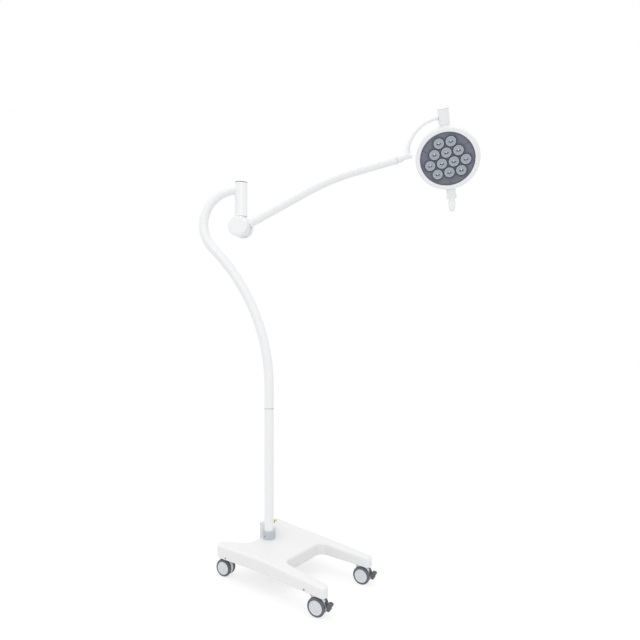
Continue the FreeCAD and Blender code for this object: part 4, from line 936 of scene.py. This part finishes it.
piece("lensChipReflections", makeChipReflections(), "darkTrimAndChipReflection", "head")
# painted highlight: a small near-white dome just above the middle of each lens stands for the glint on it
eyeTop = optic["eyeTop"]
eye = [(0.0002, eyeTop + 0.0018, 0), (0.0014, eyeTop + 0.0016, 0.001), (0.0023, eyeTop + 0.0004, 0.001),
       (0.0023, eyeTop - 0.001, 0), (0.0002, eyeTop - 0.001, 0)]
highlightDots = [lathe(lensFrame @ shifted(spot[0], spot[1] + 0.0014), eye, 24, 4) for spot in lensSpots()]
piece("lensPaintedHighlights", highlightDots, "paintedHighlightWhite", "head")
print("head made")

handle = {"drop": 0.177, "width": 0.040, "thick": 0.011, "eye": 0.011, "tilt": 35, "pin": 0.0062}


def makeBracket():
    half, bottom = handle["width"] / 2, -handle["drop"]
    outline = roundedLoop([(-half, bottom, 0.003), (half, bottom, 0.003), (half, -0.142, 0.008),
        (half + 0.004, -0.1315, 0.003), (-half - 0.004, -0.1315, 0.003), (-half, -0.142, 0.008)])
    tongue = plate(headFrame @ turned("x", 90), outline, -handle["thick"] / 2, handle["thick"] / 2, 0.002)
    eye = disc(headFrame @ shifted(z=bottom) @ alongX, handle["eye"], -half, half, 0.002, 64)
    return [tongue, eye]


piece("handleBracket", makeBracket(), "headWhite", "head", ["handle_bracket"])
pinFrame = headFrame @ shifted(z=-handle["drop"]) @ alongX
capEnds = [side * handle["width"] / 2 for side in (-1, 1)]
pinCaps = [disc(pinFrame, handle["pin"], end - 0.0012, end + 0.0012, 0.0006, 48) for end in capEnds]
piece("handlePinCaps", pinCaps, "collarGrey", "head", ["handle_pin"])
gripFrame = headFrame @ shifted(z=-handle["drop"]) @ turned("x", 180 - handle["tilt"])
piece("handleGrip", [lathe(gripFrame, [(0.002, 0.0075, 0), (0.0115, 0.0075, 0.001), (0.0128, 0.016, 0.006),
    (0.0151, 0.024, 0.012), (0.0147, 0.046, 0.02), (0.0125, 0.060, 0.007), (0.0082, 0.0662, 0.004),
    (0.002, 0.0664, 0)], 72, 7)], "headWhite", "head", ["handle_grip"])
print("handle made")


# Castors

castor = {"radius": 0.0375, "rim": 0.0305, "lip": 0.0284, "width": 0.016, "gap": 0.0082, "trail": 0.016,
    "web": 0.0348, "webHalf": 0.0076, "hoodTop": 0.0768, "hoodDisc": 0.017}


def makeTyre(m):
    c = castor
    profile = [(c["rim"], 0.0012, 0.0006), (c["radius"] - 0.0008, 0.0012, 0.0022),
        (c["radius"], 0.006, 0.004), (c["radius"], 0.0105, 0.005), (c["radius"] - 0.0030, 0.0152, 0.004),
        (c["lip"] + 0.0008, 0.0160, 0.001), (c["lip"], 0.0156, 0.0004), (c["lip"], 0.0140, 0.0004),
        (c["rim"], 0.0136, 0.0004)]
    return lathe(m, profile, 96, 5, ring=True)


def makeDisc(m):
    c = castor
    face = c["width"] - 0.0008
    return lathe(m, [(0.0005, face - 0.0008, 0), (0.0075, face - 0.0008, 0.004),
        (0.0090, face - 0.0020, 0.0012), (0.0215, face - 0.0022, 0.006), (0.0245, face - 0.0008, 0.002),
        (0.0262, face + 0.0001, 0.0012), (c["lip"] - 0.0003, face - 0.0003, 0.0006),
        (c["lip"] - 0.0003, face - 0.0022, 0.0002), (c["rim"] - 0.0002, face - 0.0026, 0.0002),
        (c["rim"] - 0.0002, 0.0014, 0.0004), (0.026, 0.0014, 0.001), (0.024, 0.0042, 0.001),
        (0.0005, 0.0042, 0)], 96, 5)


def makeHood(m):
    c = castor
    axle = m @ shifted(x=c["trail"], z=c["radius"])
    web = disc(axle @ alongY, c["web"], -c["webHalf"], c["webHalf"], 0.0016, 96)
    riser = plate(m @ turned("x", 90), roundedLoop([(-0.0105, 0.040, 0.002), (0.030, 0.040, 0.002),
        (0.022, 0.066, 0.02), (0.0125, 0.0755, 0.004), (-0.0125, 0.0755, 0.003)]), -c["webHalf"],
        c["webHalf"], 0.0014)
    top = disc(m, c["hoodDisc"], c["hoodTop"] - 0.0030, c["hoodTop"] - 0.0002, 0.0009, 64)
    return [web, riser, top]


def makePedal(m):
    # a rocking arm beside the hood, and a pad that hangs down as an apron in front of the wheels
    arm = roundedLoop([(-0.005, 0.004, 0.003), (0.0, 0.0062, 0.003), (0.008, 0.0052, 0.003),
        (0.016, 0.004, 0.0015), (0.016, -0.022, 0.002), (0.012, -0.024, 0.002), (0.008, -0.012, 0.004),
        (0.004, -0.0052, 0.003), (-0.004, -0.0042, 0.003)][::-1], 4)
    pad = roundedLoop([(0.0145, -0.020, 0.002), (0.0145, 0.0030, 0.002), (0.0200, 0.0066, 0.003),
        (0.0290, 0.0052, 0.004), (0.0345, 0.0010, 0.002), (0.0330, -0.0045, 0.002),
        (0.0270, -0.0090, 0.004), (0.0262, -0.0200, 0.003), (0.0200, -0.0240, 0.003)][::-1], 5)
    side = turned("x", 90)
    treads = [softBlock(m @ shifted(x=0.0215 + 0.0036 * i, z=0.0058 - 0.0007 * i) @ turned("y", 9),
        (0.0014, 0.019, 0.0010), 0.0005, 0.0003) for i in range(3)]
    return [plate(m @ side, arm, -0.0036, 0.0036, 0.0009),
        plate(m @ side, pad, -0.0125, 0.0125, 0.0014)] + treads


for corner in corners:
    m = castorFrames[corner]
    name = "castor_" + corner
    axle = m @ shifted(x=castor["trail"], z=castor["radius"])
    wheelFrames = [axle @ turned("x", -90 * side) @ shifted(z=castor["gap"]) for side in (1, -1)]
    tag = "".join(word.capitalize() for word in corner.split("_"))
    piece("tyres" + tag, [makeTyre(w) for w in wheelFrames], "tyreSlate", "wheels_" + corner,
        [name + "_tyres"])
    piece("discs" + tag, [makeDisc(w) for w in wheelFrames], "discGrey", "wheels_" + corner,
        [name + "_wheels"])
    piece("hood" + tag, makeHood(m), "castorWhite", "castor_" + corner, [name + "_hood"])
    if corner.startswith("front"):
        pivot = axesFrame(jointAt(corner + "_brake_pedal"), m[:3, 0], m[:3, 1], m[:3, 2])
        piece("pedal" + tag, makePedal(pivot), "pedalSlate", "pedal_" + corner, [name + "_pedal"])
print("castors made")


# Mains inlet and earth stud behind the pole, and the small cut pieces: merged copies of their solids
# with rounded edges

def softened(name, label, look, body, width):
    mesh = nodes[label].data.copy()
    mesh.name = name
    work = bmesh.new()
    work.from_mesh(mesh)
    bmesh.ops.remove_doubles(work, verts=work.verts, dist=2e-6)
    bmesh.ops.dissolve_limit(work, angle_limit=np.radians(1), verts=work.verts, edges=work.edges)
    work.to_mesh(mesh)
    work.free()
    pieceOf(mesh, finish[look], body, [label], width)


softened("inletBox", "inlet_box", "inletWhite", "base", 0.0009)
softened("inletSocket", "mains_inlet", "socketBlack", "base", 0.0004)
softened("mainsRocker", "power_rocker", "socketBlack", "rocker", 0.0004)
softened("coverScrews", "base_screws", "screwDark", "base", 0.0003)

shroud = {"x": -0.048, "y": 0.056, "z": 0.175, "root": 0.014, "tip": 0.0065, "length": 0.030}
shroudFrame = poleFrame @ shifted(shroud["x"], shroud["y"], shroud["z"]) @ alongY
piece("earthShroud", [lathe(shroudFrame, [(0.0031, 0.0002, 0), (shroud["root"], 0.0002, 0.001),
    (shroud["root"], 0.005, 0.0015), (shroud["tip"] + 0.0006, shroud["length"] - 0.001, 0.002),
    (shroud["tip"] - 0.001, shroud["length"], 0.0008), (0.0031, shroud["length"], 0)], 72, 5, ring=True)],
    "earthStripe", "base", ["earth_shroud"])
print("inlet made")


# Stage: pale floor, soft light and the camera

view = {"lens": 28.69, "sensor": 36.0, "at": (1.3491, -1.8199, 1.142), "yaw": 38.6, "shiftY": -0.0031}
camera = bpy.data.cameras.new("view")
camera.lens = view["lens"]
camera.sensor_width = view["sensor"]
camera.shift_y = view["shiftY"]
camera.clip_end = 60
viewer = linked("viewer", camera)
viewer.location = view["at"]
viewer.rotation_euler = (np.radians(90), 0, np.radians(view["yaw"]))
bpy.context.scene.camera = viewer

stage = {"size": 60.0, "floorTone": 0.82, "floorLift": 0.6, "floorGlow": 1.21, "worldTone": 0.83}


def whiteForCamera(tree, plain, lift, output, socket):
    # camera, glossy and transmission rays see white; every other ray sees the plain shader
    path = tree.nodes.new("ShaderNodeLightPath")
    seen = mathNode(tree, "MAXIMUM", path.outputs["Is Camera Ray"],
        mathNode(tree, "MAXIMUM", path.outputs["Is Glossy Ray"], path.outputs["Is Transmission Ray"]))
    mix = tree.nodes.new("ShaderNodeMixShader")
    tree.links.new(seen, mix.inputs[0])
    tree.links.new(plain, mix.inputs[1])
    tree.links.new(lift, mix.inputs[2])
    tree.links.new(mix.outputs[0], output.inputs[socket])


def makeWorld():
    world = bpy.data.worlds.new("studio")
    world.use_nodes = True
    bpy.context.scene.world = world
    tree = world.node_tree
    plain = tree.nodes["Background"]
    tone = stage["worldTone"]
    plain.inputs["Color"].default_value = (tone, tone, tone * 1.01, 1)
    white = tree.nodes.new("ShaderNodeBackground")
    white.inputs["Color"].default_value = (1, 1, 1, 1)
    whiteForCamera(tree, plain.outputs[0], white.outputs[0], tree.nodes["World Output"], "Surface")


def makeFloor():
    half = stage["size"] / 2
    mesh = bpy.data.meshes.new("floor")
    mesh.from_pydata([(-half, -half, 0), (half, -half, 0), (half, half, 0), (-half, half, 0)], [],
        [(0, 1, 2, 3)])
    floor = linked("floor", mesh)
    material, tree, shader = startMaterial("floorWhite")
    tone = stage["floorTone"]
    setInputs(shader, {"Base Color": (tone, tone, tone, 1), "Roughness": 1.0, "Specular IOR Level": 0.0})
    glow = tree.nodes.new("ShaderNodeEmission")
    setInputs(glow, {"Color": (1, 1, 1, 1), "Strength": stage["floorGlow"]})
    mix = tree.nodes.new("ShaderNodeMixShader")
    mix.inputs[0].default_value = stage["floorLift"]
    tree.links.new(shader.outputs[0], mix.inputs[1])
    tree.links.new(glow.outputs[0], mix.inputs[2])
    whiteForCamera(tree, shader.outputs[0], mix.outputs[0], tree.nodes["Material Output"], "Surface")
    mesh.materials.append(material)


lamps = {
    "overhead": {"at": (0.2, -0.6, 4.2), "aim": (-0.1, -0.1, 0.6), "size": 3.2, "power": 27},
    "fill": {"at": (2.6, -3.4, 2.2), "aim": (0.0, 0.0, 1.0), "size": 2.6, "power": 24},
    "side": {"at": (-3.2, -1.6, 2.6), "aim": (0.0, 0.0, 1.0), "size": 2.4, "power": 9},
}


def makeLamps():
    for name, lamp in lamps.items():
        data = bpy.data.lights.new(name, "AREA")
        data.shape = "DISK"
        data.size = lamp["size"]
        data.energy = lamp["power"]
        item = linked(name, data)
        item.location = lamp["at"]
        aim = Vector(lamp["aim"]) - Vector(lamp["at"])
        item.rotation_euler = aim.to_track_quat("-Z", "Y").to_euler()


makeWorld()
makeFloor()
makeLamps()
bpy.context.scene.view_settings.view_transform = "Standard"
print("stage made")
